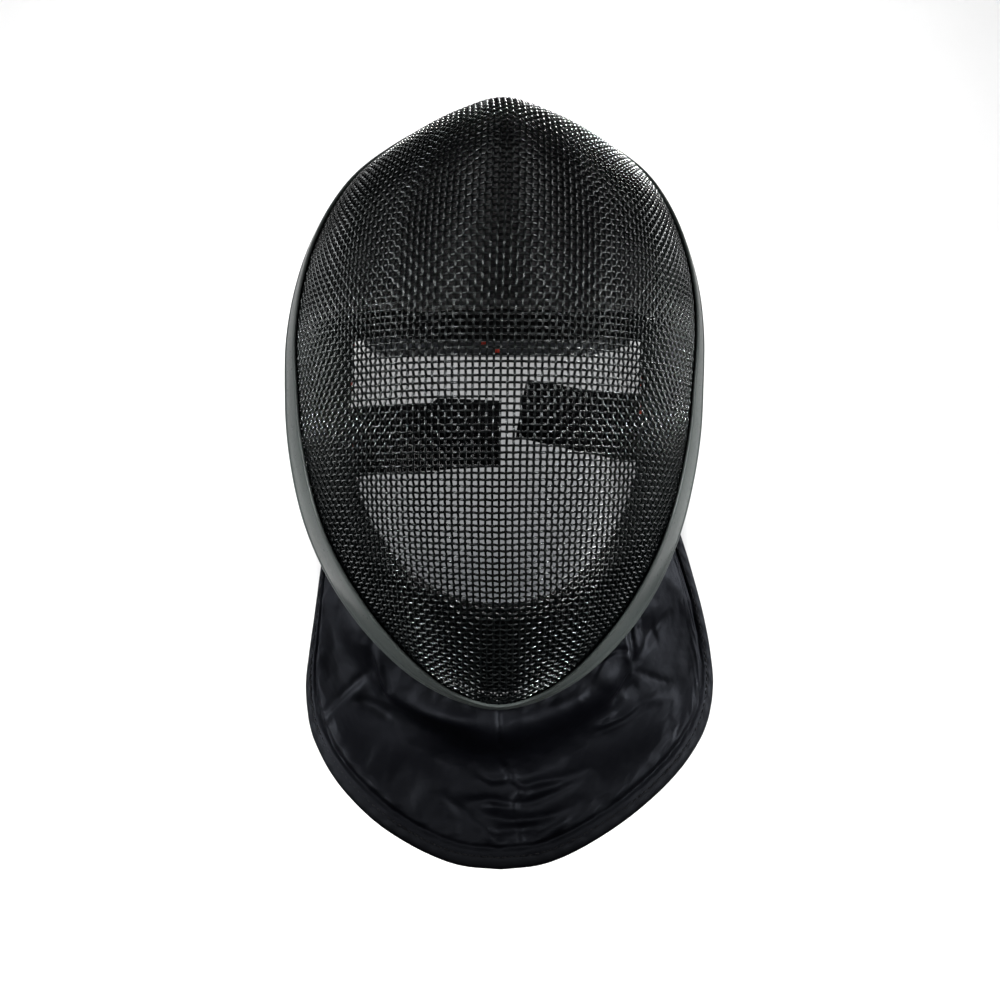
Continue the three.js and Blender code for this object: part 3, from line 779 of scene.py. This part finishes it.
def make_tongue():
    nu, nv = 90, 100
    end = 1 - 8.2 / 140
    u = 0.5 - 0.5 * np.cos(math.pi * np.linspace(0, 1, nu))
    v = np.linspace(0, 1, nv) * end
    g = tongue_sheet(u[:, None] + 0 * v, v[None, :] + 0 * u[:, None])
    n = grid_normals(g)
    if n[nu // 2, nv // 2, 1] < 0:
        n = -n
    across = np.concatenate([np.zeros((1, nv)), np.cumsum(np.linalg.norm(np.diff(g, axis=0), axis=-1), axis=0)], 0)
    down = np.concatenate([np.zeros((nu, 1)), np.cumsum(np.linalg.norm(np.diff(g, axis=1), axis=-1), axis=1)], 1)
    d = np.minimum(np.minimum(across, across[-1:] - across), down)
    fall = np.sqrt(np.clip(1 - (1 - np.clip(d / 7.0, 0, 1)) ** 2, 0, 1))
    seam = np.exp(-(((d - 9) / 1.1) ** 2)) * 0.9
    centre = np.exp(-(((across - across[-1:] / 2) / 1.5) ** 2)) * 1.0
    wave = noise2(across, down, 9, 40.0) * 0.5
    out = g + n * ((0.6 + 2.8 * fall - seam * 0.7 - centre * 0.6 + wave * fall * 0.4))[..., None]
    inn = g - n * ((0.6 + 3.4 * fall - seam - centre + wave * fall))[..., None]
    uv = np.stack([across / 1000, down / 1000], -1)
    obj = closed_sheet("head_tongue_pad", out, inn, uv, rim=((0.5, 0.5),))
    finish_piece(obj, MATS["tongue"], "head_tongue")
    # the slate strip folded over the lower edge
    nu2, ring = 90, 18
    ub = 0.5 - 0.5 * np.cos(math.pi * np.linspace(0.0, 1, nu2))
    ph = np.arange(ring) * 2 * math.pi / ring
    v_mid, v_half = (end + 1) / 2 + 0.001, (1 - end) / 2
    vv = v_mid - v_half * np.sign(np.cos(ph)) * np.abs(np.cos(ph)) ** 0.6
    off = 3.6 * np.sign(np.sin(ph)) * np.abs(np.sin(ph)) ** 0.75
    V = vv[None, :] + 0 * ub[:, None]
    k = np.clip((V - end) / (1 - end), 0, 1)
    x0 = TONGUE_STRIP[0] + (TONGUE_STRIP[2] - TONGUE_STRIP[0]) * k * k
    x1 = TONGUE_STRIP[1] + (TONGUE_STRIP[3] - TONGUE_STRIP[1]) * k * k
    base = tongue_at(x0 + (x1 - x0) * ub[:, None], V)
    at = np.interp(base[:, ring // 4, 0], g[:, -1, 0], np.arange(nu))
    nb = np.stack([np.interp(at, np.arange(nu), n[:, -1, c]) for c in range(3)], -1)
    rings = base + nb[:, None] * off[None, :, None]
    uvb = np.stack(np.broadcast_arrays(np.linspace(0, 0.16, nu2)[:, None], (ph * 0.002)[None, :]), -1)
    bind = loft("tongue_binding_strip", rings, close_u=False, caps=True, uv=uvb)
    finish_piece(bind, MATS["binding"], "tongue_binding")
    return g, n


tongue_g, tongue_n = make_tongue()


# ------------------------------------------------------------------ stitches, as small joined capsules
def capsules(name, a, b, out, radius, material, lift=0.35, sides=6):
    """Short round stitches from points a to b (n, 3), bowed out along out."""
    a, b, out = np.asarray(a, float), np.asarray(b, float), unit(np.asarray(out, float))
    steps = np.array([0.0, 0.08, 0.3, 0.7, 0.92, 1.0])
    fat = np.array([0.25, 0.75, 1.0, 1.0, 0.75, 0.25])
    bow = np.array([-0.6, 0.1, 0.9, 0.9, 0.1, -0.6])
    d = b - a
    tan = unit(d)
    bi = unit(np.cross(tan, out))
    ph = np.arange(sides) * 2 * math.pi / sides
    c = a[:, None] + d[:, None] * steps[None, :, None] + out[:, None] * (bow * lift)[None, :, None]
    ring = c[:, :, None] + radius * fat[None, :, None, None] * (np.cos(ph)[None, None, :, None] * out[:, None, None] + np.sin(ph)[None, None, :, None] * bi[:, None, None])
    n, m = len(a), len(steps)
    i = np.arange(m - 1)[:, None]
    j = np.arange(sides)[None, :]
    q = np.stack(np.broadcast_arrays(i * sides + j, (i + 1) * sides + j, (i + 1) * sides + (j + 1) % sides, i * sides + (j + 1) % sides), -1).reshape(-1, 4)
    base = np.arange(n)[:, None, None] * m * sides
    faces = (q[None] + base).reshape(-1, 4)
    cap1 = (np.arange(sides)[None, :] + base[:, 0]).reshape(-1, sides)
    cap2 = (np.arange(sides)[::-1][None, :] + (m - 1) * sides + base[:, 0]).reshape(-1, sides)
    obj = mesh_from(name, ring.reshape(-1, 3), [faces, cap1, cap2])
    obj.data.materials.append(material)
    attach(obj, ROOT)
    return obj


def pad_tacks(name, form, places):
    """Short rows of red stitches on a pad's inner edge: angle from straight up, and millimetres in from the edge."""
    angle, along, face, n = form
    a, b, out = [], [], []
    for want, inward in places:
        u = int(np.clip(np.abs((angle - want + 180) % 360 - 180).argmin(), 1, len(angle) - 2))
        v = int(np.clip(np.abs(along[u] - inward).argmin(), 1, along.shape[1] - 2))
        side, deep = unit(face[u + 1, v] - face[u - 1, v]), unit(face[u, v + 1] - face[u, v - 1])
        up = unit(np.cross(side, deep))
        up = up if (up * n[u, v]).sum() < 0 else -up
        for k in np.arange(-2, 3):
            mid = face[u, v] + side * k * 0.85 + up * 0.35
            a.append(mid - deep * 1.3)
            b.append(mid + deep * 1.3)
            out.append(up)
    return capsules(name, a, b, out, 0.42, MATS["red"])


pad_tacks("bar_tacks_left", form_l, ((-76, 4), (-90, 4.5), (-108, 6)))
pad_tacks("bar_tacks_right", form_r, ((88, 4.5), (97, 4.5)))
tack = [np.array([-6.5, -5.6, -4.7, -3.8, 0.4, 1.3, 2.2, 3.1]), np.array([0.955] * 4 + [0.985] * 4)]
tack_at = tongue_at(tack[0], tack[1]) + [0, -4.0, 0]
capsules("bar_tacks_tongue", tack_at + [0, 0, 1.3], tack_at - [0, 0, 1.3], np.tile([0.0, -1.0, 0.0], (8, 1)), 0.45, MATS["red"])


# ------------------------------------------------------------------ back straps
def make_strap(side, rows, slant, name, node):
    nu, nv = 170, 9
    u = np.linspace(0, 1, nu)
    path = spline(np.stack([rows["x"], rows["depth"], rows["height"]], -1), u, uniform=False)
    half = np.interp(u * (len(rows["half"]) - 1), np.arange(len(rows["half"])), rows["half"])
    lift = np.linspace(-1, 1, nv)
    p = np.repeat(path[:, None], nv, 1)
    p[..., 2] += lift[None, :] * half[:, None]
    p[..., 0] += slant * lift[None, :] * (u**6)[:, None]
    run = np.concatenate([[0], np.cumsum(np.linalg.norm(np.diff(path, axis=0), axis=1))])
    n = grid_normals(p)
    # a soft wave along the free part, as worn webbing has
    p = p + n * (np.sin(run / 21.0 + side) * 0.8 * np.clip(u * 1.4 - 0.3, 0, 1))[:, None, None] + n * (lift[None, :, None] ** 2) * 0.5
    edge = np.abs(lift)[None, :] > 0.99
    t = np.where(edge, 0.75, 1.15)[..., None]
    uv = np.stack(np.broadcast_arrays(run[:, None] / 1000, lift[None, :] * 18.4 / 1000), -1)
    obj = closed_sheet(name, p + n * t, p - n * t, uv, rim=((0.5, 0.3),))
    finish_piece(obj, MATS["webbing"], node)
    # 36 mm webbing, cut to the length that shows from the side pad to its free end
    print(name, "flat", round(2 * rows["half"][0], 1), "x", round(float(run[-1]), 1), "mm")
    return p, n, run


lp, ln, lrun = make_strap(0.4, STRAP_LEFT, 0.0, "back_strap_left_webbing", "back_strap_left")
rp, rn, rrun = make_strap(1.7, STRAP_RIGHT, 2.9, "back_strap_right_webbing", "back_strap_right")


# ------------------------------------------------------------------ bib
def bib_curves(s):
    s = np.asarray(s, float)
    hem = spline(np.stack([BIB_OUTLINE["half"], BIB_OUTLINE["depth"], BIB_OUTLINE["height"]], -1), s)
    angle, inset, behind = (column(BIB_SEAT, k, s) for k in ("angle", "inset", "behind"))
    p = bowl(angle, 1.0)
    A = np.radians(angle)
    seat = np.stack([p[..., 0] - inset * np.sin(A), p[..., 1] + behind, p[..., 2] - inset * np.cos(A)], -1)
    return seat, hem


# Folds of the bib in its front plane, millimetres: a path, how wide and how high (below zero is a crease)
FOLDS = [
    dict(name="roll_left", x=[-61, -59, -52, -44, -33, -15, -3], z=[-82, -92, -98, -103, -107.5, -111.5, -112.5], width=3.2, height=2.2),
    dict(name="roll_right", x=[4, 13, 25, 36, 46], z=[-112.5, -111, -107.5, -103, -97], width=3.2, height=2.0),
    dict(name="left_seam", x=[-64, -76, -86, -93], z=[-86, -97, -107, -113], width=1.8, height=-2.0),
    dict(name="left_seam_lip", x=[-66, -78, -90], z=[-92, -103, -112], width=3.5, height=1.3),
    dict(name="left_tuck", x=[-65, -62, -58, -56], z=[-76, -86, -96, -101], width=1.8, height=-2.2),
    dict(name="left_tuck_two", x=[-58, -56, -54], z=[-84, -90, -97], width=1.3, height=-1.4),
    dict(name="left_pocket", x=[-73, -63, -55], z=[-103, -106, -112], width=3.2, height=-2.2),
    dict(name="right_upright", x=[67, 68.5, 69], z=[-62, -74, -86], width=1.5, height=-2.4),
    dict(name="right_upright_lip", x=[65, 66, 66], z=[-64, -74, -84], width=1.8, height=1.2),
    dict(name="right_slant", x=[69, 79, 89], z=[-86, -70, -58], width=2.2, height=-2.0),
    dict(name="right_hollow", x=[74, 82], z=[-68, -66], width=6.5, height=-3.0),
    dict(name="right_out", x=[70, 80, 91], z=[-87, -92, -96], width=1.6, height=-1.6),
    dict(name="right_down", x=[67, 62, 58], z=[-88, -97, -103], width=1.6, height=-2.0),
    dict(name="right_panel", x=[50, 60], z=[-88, -93], width=6.0, height=1.6),
    dict(name="right_pocket", x=[64, 72], z=[-98, -95], width=3.4, height=-2.2),
    dict(name="right_small", x=[53, 60, 67], z=[-81, -77, -77], width=1.2, height=-1.2),
    dict(name="right_leaf", x=[48, 62, 78, 88], z=[-117, -113, -103, -101], width=3.4, height=2.2),
    dict(name="right_leaf_line", x=[50, 66, 76], z=[-119, -112, -104], width=1.1, height=-1.2),
    dict(name="ripple_one", x=[-13, -4, 5, 13, 22, 34, 46], z=[-137, -142, -142, -145, -143, -141, -137], width=2.2, height=1.7),
    dict(name="ripple_two", x=[-17, -4, 6, 18, 30, 42], z=[-153, -152, -154.5, -153, -148, -143], width=2.2, height=1.8),
    dict(name="ripple_three", x=[-9, 5, 22, 36], z=[-159.5, -162, -161, -156], width=2.0, height=1.4),
    dict(name="dip_one", x=[-6, 12], z=[-155.5, -155.5], width=2.2, height=-1.6),
    dict(name="dip_two", x=[15, 33], z=[-149, -146], width=2.4, height=-1.5),
    dict(name="dip_three", x=[-3, 22], z=[-167, -165], width=2.4, height=-1.3),
    dict(name="vee_left", x=[-27, -10, 7], z=[-150, -165, -179], width=2.4, height=1.5),
    dict(name="vee_right", x=[36, 23, 12], z=[-161, -169, -179], width=2.2, height=1.5),
    dict(name="seam_top", x=[0, 0.5, 1], z=[-106, -114, -124], width=1.0, height=-1.3),
    dict(name="seam_mid", x=[1, 3.5, 6, 10, 8, 8], z=[-132, -137, -143, -148, -153, -160], width=1.1, height=-1.5),
    dict(name="seam_low", x=[8, 10.5, 10.5, 10.5], z=[-160, -168, -176, -183], width=1.1, height=-1.6),
    dict(name="left_swell", x=[-88, -70, -45], z=[-118, -140, -160], width=13, height=1.6),
    dict(name="right_swell", x=[90, 72, 50], z=[-116, -136, -154], width=12, height=1.6),
    dict(name="left_dent", x=[-66, -52], z=[-132, -136], width=7, height=-1.1),
]


def fold_height(x, z):
    out = np.zeros(np.broadcast(x, z).shape)
    for f in FOLDS:
        px, pz = np.asarray(f["x"], float), np.asarray(f["z"], float)
        k = np.linspace(0, 1, len(px))
        fine = np.linspace(0, 1, 14 * len(px))
        qx, qz = hermite(k, px, fine, False), hermite(k, pz, fine, False)
        seg = np.hypot(np.diff(qx), np.diff(qz))
        s = np.concatenate([[0], np.cumsum(seg)])
        dist = (x[..., None] - qx) ** 2 + (z[..., None] - qz) ** 2
        near = dist.argmin(-1)
        d2 = np.take_along_axis(dist, near[..., None], -1)[..., 0]
        share = s[near] / s[-1]
        taper = np.clip(np.minimum(share, 1 - share) * 5 + 0.25, 0, 1)
        out += f["height"] * np.exp(-d2 / f["width"] ** 2) * taper
    return out


def bib_grid(s, v):
    """Points of the bib's middle layer for s in -1..1 along the rim and v from the rim to the hem."""
    s, v = np.broadcast_arrays(s, v)
    line = s[:, 0]
    seat, hem = bib_curves(np.abs(line))
    seat, hem = seat.copy(), hem.copy()
    seat[:, 0] *= np.sign(line)
    hem[:, 0] *= np.sign(line)
    p = seat[:, None] * (1 - v[..., None]) + hem[:, None] * v[..., None]
    p[..., 0] += v * hermite(BIB_SWAY["height"], BIB_SWAY["shift"], np.clip(p[..., 2], -190, -10), False)
    near = np.maximum(0, 1 - s * s * 1.6)
    p[..., 1] += near * (8.0 * np.sin(math.pi * np.minimum(1, v * 1.05)) ** 2 - 5.5 * np.exp(-(((v - 0.2) / 0.09) ** 2)))
    return p


def settle(grid, start, held, spare, steps, cap):
    """Cloth with spare length laid as grid + start (nu, nv, 3), fixed where held is 1, left to buckle: its moves, in mm."""
    nu, nv = grid.shape[:2]
    scale = 60.0  # worked at a larger size, where the solver is stable
    me = bpy.data.meshes.new("settling")
    me.from_pydata(((grid + start).reshape(-1, 3) / scale).tolist(), [], grid_faces(nu, nv).tolist())
    obj = bpy.data.objects.new("settling", me)
    bpy.context.scene.collection.objects.link(obj)
    group = obj.vertex_groups.new(name="held")
    for level in np.unique(np.round(held, 2)):
        if level > 0:
            group.add(np.flatnonzero(np.round(held.ravel(), 2) == level).tolist(), float(level), "REPLACE")
    mod = obj.modifiers.new("cloth", "CLOTH")
    c = mod.settings
    c.quality = 6
    c.mass = 0.2
    c.tension_stiffness = c.compression_stiffness = 25
    c.shear_stiffness = 12
    c.bending_stiffness = 0.35
    c.tension_damping = c.compression_damping = c.shear_damping = 15
    c.vertex_group_mass = "held"
    c.pin_stiffness = 3
    c.shrink_min = -spare
    c.effector_weights.gravity = 0
    mod.point_cache.frame_start, mod.point_cache.frame_end = 1, steps
    for f in range(1, steps + 1):
        bpy.context.scene.frame_set(f)
    settled = obj.evaluated_get(bpy.context.evaluated_depsgraph_get())
    co = np.empty(nu * nv * 3, np.float32)
    settled.data.vertices.foreach_get("co", co)
    move = co.reshape(nu, nv, 3).astype(float) * scale - grid
    bpy.context.scene.frame_set(1)
    bpy.data.objects.remove(obj, do_unlink=True)
    bpy.data.meshes.remove(me)
    far = np.linalg.norm(move, axis=-1, keepdims=True)
    return move * np.minimum(1, cap / np.maximum(far, 1e-9))


def resample(a, nu, nv):
    """A grid (mu, mv) read at nu by nv even places."""
    x, y = np.linspace(0, a.shape[0] - 1, nu), np.linspace(0, a.shape[1] - 1, nv)
    i, j = np.minimum(x.astype(int), a.shape[0] - 2), np.minimum(y.astype(int), a.shape[1] - 2)
    f, g = (x - i)[:, None], (y - j)[None, :]
    f, g = f * f * (3 - 2 * f), g * g * (3 - 2 * g)
    I, J = i[:, None], j[None, :]
    return (a[I, J] * (1 - f) + a[I + 1, J] * f) * (1 - g) + (a[I, J + 1] * (1 - f) + a[I + 1, J + 1] * f) * g


def bib_buckles():
    """How far the bib's front skin stands off after it has buckled, on its own coarse grid."""
    nu, nv = 150, 64
    s, v = np.linspace(-1, 1, nu)[:, None], np.linspace(0, 0.985, nv)[None, :]
    g = bib_grid(s, v)
    n = grid_normals(g)
    if n[nu // 2, nv // 2, 1] > 0:
        n = -n
    down = np.concatenate([np.zeros((nu, 1)), np.cumsum(np.linalg.norm(np.diff(g, axis=1), axis=-1), axis=1)], 1)
    to_hem = down[:, -1:] - down
    calm = np.clip(to_hem / 12, 0, 1) * np.clip(down / 5, 0, 1)
    start = n * ((fold_height(g[..., 0], g[..., 2]) * 0.8 + noise2(g[..., 0], g[..., 2], 31, 60.0) * 0.2) * calm)[..., None]
    held = ((to_hem < 9.5) | (down < 3.5)).astype(float)
    held[[0, 1, -2, -1]] = 1.0
    move = settle(g, start, held, 0.014, 14, 5.0)
    return (move * n).sum(-1) * np.clip(to_hem / 10, 0, 1)


def make_bib():
    nu, nv = 280, 130
    s = np.linspace(-1, 1, nu)[:, None]
    v = np.linspace(0, 0.985, nv)[None, :]
    g = bib_grid(s, v)
    n = grid_normals(g)
    if n[nu // 2, nv // 2, 1] > 0:
        n = -n  # n looks forward
    across = np.concatenate([np.zeros((1, nv)), np.cumsum(np.linalg.norm(np.diff(g, axis=0), axis=-1), axis=0)], 0)
    down = np.concatenate([np.zeros((nu, 1)), np.cumsum(np.linalg.norm(np.diff(g, axis=1), axis=-1), axis=1)], 1)
    length = down[:, -1:]
    to_hem = length - down
    folds = fold_height(g[..., 0], g[..., 2]) * 0.38 + resample(bib_buckles(), nu, nv) * 0.5
    folds = np.clip(folds, -3.6, 3.6)
    # folds die out towards the hem and the sewn edge
    calm = np.clip(to_hem / 12, 0, 1) * np.clip(down / 5, 0, 1)
    uneven = noise2(g[..., 0], g[..., 2], 21, 70.0) * 0.5 + noise2(g[..., 0], g[..., 2], 22, 22.0) * 0.22
    # the line of stitches just inside the hem pulls the cloth in
    stitch = np.exp(-(((to_hem - 9.0) / 1.3) ** 2)) * 1.0
    pucker = np.exp(-(((to_hem - 11.0) / 4.0) ** 2)) * 0.22 * np.sin(across / 2.3 + noise2(across, down, 5, 30.0) * 3)
    puff = 1 - np.exp(-down / 6.0) * 0.5
    # below the jaw the skin sinks under the roll, then swings out to the hem
    sink = np.maximum(0, 1 - s * s * 1.6) * (1.2 * np.exp(-(((v - 0.08) / 0.07) ** 2)) - 2.4 * np.exp(-(((v - 0.48) / 0.2) ** 2)))
    uneven = uneven + sink
    front = g + n * (1.6 + 0.9 * puff + (folds + uneven) * calm - stitch + pucker)[..., None]
    back = g - n * (1.6 + 0.7 * puff - 0.45 * (folds + uneven) * calm - stitch * 0.8)[..., None]
    uv = np.stack([across / 1000, down / 1000], -1)
    obj = closed_sheet("bib_panel", front, back, uv, rim=((0.5, 0.6),))
    finish_piece(obj, MATS["satin"], "bib")
    return g, n, front, back, to_hem


bib_g, bib_n, bib_front, bib_back, bib_to_hem = make_bib()


def make_hem():
    nu, ring = 360, 20
    s = np.linspace(-1, 1, nu)[:, None]
    width = 7.2
    seat, hem = bib_curves(np.abs(s[:, 0]))
    length = np.linalg.norm(hem - seat, axis=1)
    v_in = 1 - width / length
    ph = np.arange(ring) * 2 * math.pi / ring
    c = np.cos(ph)
    share = 0.5 - 0.5 * np.sign(c) * np.abs(c) ** 0.7       # 0 at the inner edge, 1 at the outer edge
    v = v_in[:, None] + (1.0 - v_in)[:, None] * (1 - share)[None, :]
    g = bib_grid(np.broadcast_to(s, v.shape), v)
    two = bib_grid(np.broadcast_to(s, (nu, 2)), np.stack([v_in, np.ones(nu)], -1))
    tan = unit(np.gradient(two[:, 1], axis=0))
    inward = unit(two[:, 0] - two[:, 1])
    n = unit(np.cross(tan, inward))
    n = np.where((n[:, 1:2] > 0), -n, n)
    off = 2.75 * np.sign(np.sin(ph)) * np.abs(np.sin(ph)) ** 0.55
    wobble = 1 + 0.05 * np.sin(np.arange(nu) * 0.9)[:, None] * np.clip(np.sin(ph), 0, 1)[None, :]
    rings = g + n[:, None] * (off[None, :] * wobble)[..., None]
    run = np.concatenate([[0], np.cumsum(np.linalg.norm(np.diff(two[:, 1], axis=0), axis=1))])
    uv = np.stack(np.broadcast_arrays(run[:, None] / 1000, (ph * 0.0025)[None, :]), -1)
    obj = loft("bib_hem_binding", rings, close_u=False, caps=True, uv=uv)
    finish_piece(obj, MATS["hem"], "bib_hem")
    # stitches along the binding's inner edge, in front and behind
    pick = np.arange(0, run[-1] - 3, 3.4)
    a = np.stack([np.interp(pick, run, (two[:, 0] * 0.86 + two[:, 1] * 0.14)[:, k]) for k in range(3)], -1)
    b = np.stack([np.interp(pick + 2.4, run, (two[:, 0] * 0.86 + two[:, 1] * 0.14)[:, k]) for k in range(3)], -1)
    nn = np.stack([np.interp(pick, run, n[:, k]) for k in range(3)], -1)
    capsules("hem_stitches_front", a + nn * 2.55, b + nn * 2.55, nn, 0.3, MATS["thread"])
    capsules("hem_stitches_back", a - nn * 2.55, b - nn * 2.55, -nn, 0.3, MATS["thread"])


make_hem()


# ------------------------------------------------------------------ stage, light and camera
def studio_white():
    """Pale paper, with a soft shade on it straight behind the mask."""
    m = Mat("studio_white", rough=0.9, spec=0.1)
    o = m.coords()
    sep = m.node("ShaderNodeSeparateXYZ")
    m.link(o, sep.inputs[0])
    n = m.noise(o, 3, 3)
    white = m.ramp(n, [(0.3, (0.88, 0.88, 0.88)), (0.7, (0.9, 0.9, 0.9))])
    side = m.math("POWER", m.math("ABSOLUTE", m.math("DIVIDE", m.math("SUBTRACT", sep.outputs[0], SHADE["x"]), SHADE["half"])), 3.0)
    high = m.math("POWER", m.math("ABSOLUTE", m.math("DIVIDE", m.math("SUBTRACT", sep.outputs[2], SHADE["z"]), SHADE["tall"])), 3.0)
    far = m.span(sep.outputs[1], 0.0, 1.0, 1.2, 1.6)
    amount = m.math("MULTIPLY", m.span(m.math("ADD", side, high), 1.0, 0.0, 0.55, 1.0), far)
    tone = m.ramp(m.span(sep.outputs[2], 0.0, 1.0, -0.5, 0.3), SHADE["tones"])
    mix = m.node("ShaderNodeMix", data_type="RGBA")
    m.link(amount, mix.inputs[0])
    m.link(white, mix.inputs[6])
    m.link(tone, mix.inputs[7])
    return m.done(mix.outputs[2])


SHADE = dict(x=0.07, z=-0.14, half=0.44, tall=0.5, tones=[
    (0.0, (0.075, 0.078, 0.083)), (0.19, (0.11, 0.114, 0.12)), (0.27, (0.15, 0.154, 0.16)), (0.34, (0.176, 0.18, 0.186)), (0.44, (0.19, 0.193, 0.197)),
    (0.62, (0.245, 0.247, 0.248)), (1.0, (0.28, 0.28, 0.278)),
])


def make_stage():
    # a floor that turns up into a backdrop
    floor_z, back_y, r, split = -0.62, 2.6, 0.8, 0.5
    prof = [(split, floor_z)] + [(back_y - r + r * math.sin(k), floor_z + r - r * math.cos(k)) for k in np.linspace(0, math.pi / 2, 24)] + [(back_y, 3.2)]
    xs = np.linspace(-1.9, 1.9, 9)
    verts = np.array([[(x, y, z) for (y, z) in prof] for x in xs])
    me = bpy.data.meshes.new("studio_floor")
    nu, nv = verts.shape[:2]
    f = grid_faces(nu, nv)
    me.from_pydata(verts.reshape(-1, 3).tolist(), [], f.tolist())
    for p in me.polygons:
        p.use_smooth = True
    obj = bpy.data.objects.new("studio_floor", me)
    bpy.context.scene.collection.objects.link(obj)
    paper = studio_white()
    obj.data.materials.append(paper)
    # the floor under the mask has its own light, and throws none back up
    near = bpy.data.meshes.new("studio_floor_near")
    near.from_pydata([(-1.9, -1.3, floor_z), (1.9, -1.3, floor_z), (1.9, split, floor_z), (-1.9, split, floor_z)], [], [(0, 1, 2, 3)])
    near_obj = bpy.data.objects.new("studio_floor_near", near)
    bpy.context.scene.collection.objects.link(near_obj)
    near_obj.data.materials.append(paper)
    near_obj.visible_diffuse = near_obj.visible_glossy = False


make_stage()


def area(name, place, aim, size, power, color=(1, 1, 1), spread=180):
    light = bpy.data.lights.new(name, "AREA")
    light.shape = "RECTANGLE"
    light.size, light.size_y = size
    light.energy = power
    light.color = color
    light.spread = math.radians(spread)
    obj = bpy.data.objects.new(name, light)
    obj.location = place
    d = np.array(aim, float) - np.array(place, float)
    from mathutils import Vector
    obj.rotation_euler = Vector(d).to_track_quat("-Z", "Y").to_euler()
    bpy.context.scene.collection.objects.link(obj)
    return obj


area("floor_wash", (0, -0.4, -0.46), (0, -0.4, -1), (4.0, 2.0), 30).visible_camera = False
area("back_soft", (0.5, 1.8, 1.35), (0, 0.06, -0.1), (0.8, 0.8), 2.5, spread=25)
area("key_top", (0.05, -0.95, 1.55), (0, 0, -0.1), (0.7, 0.25), 0.09, spread=30)
area("front_soft", (0.0, -1.9, 0.42), (0, 0, -0.12), (1.3, 0.35), 0.2, spread=24)
area("glint_left", (-1.5, -1.35, 0.38), (0, 0, -0.13), (0.12, 0.9), 0.54, spread=24)
area("glint_right", (1.5, -1.35, 0.38), (0, 0, -0.13), (0.12, 0.9), 0.5, spread=24)
area("bib_left", (-1.7, -1.0, 0.05), (-0.1, 0.0, -0.23), (0.2, 0.2), 0.19, spread=6)
area("bib_right", (1.7, -1.0, 0.05), (0.1, 0.0, -0.23), (0.2, 0.2), 0.26, spread=6)
area("low_soft", (0, -0.85, -0.6), (0, -0.05, -0.24), (0.9, 0.3), 0.045, spread=40).visible_camera = False
area("side_left", (-1.5, 0.35, 0.5), (0, 0.02, -0.02), (0.4, 0.6), 0.45, spread=34)
area("side_right", (1.5, 0.35, 0.5), (0, 0.02, -0.02), (0.4, 0.6), 0.5, spread=34)
area("backdrop_wash", (0.0, 0.55, 0.8), (0, 2.4, -0.15), (2.6, 0.5), 75)

world = bpy.data.worlds.new("studio_air")
world.use_nodes = True
world.node_tree.nodes["Background"].inputs["Color"].default_value = (1, 1, 1, 1)
world.node_tree.nodes["Background"].inputs["Strength"].default_value = 1.0
for ray in ("diffuse", "glossy", "transmission", "scatter"):
    setattr(world.cycles_visibility, ray, False)
bpy.context.scene.world = world
bpy.context.scene.view_settings.view_transform = "Standard"

cam = bpy.data.cameras.new("camera")
cam.sensor_width = 36
cam.lens = 51.12
cam.dof.use_dof = False
camera = bpy.data.objects.new("camera", cam)
yaw = math.radians(1.5)
centre = (0.0, -0.03)
dist = 0.690
camera.location = (centre[0] - dist * math.sin(yaw), centre[1] - dist * math.cos(yaw), -SEAT_HEIGHT / 1000)
camera.rotation_euler = (math.pi / 2, 0, -yaw)
bpy.context.scene.collection.objects.link(camera)
bpy.context.scene.camera = camera
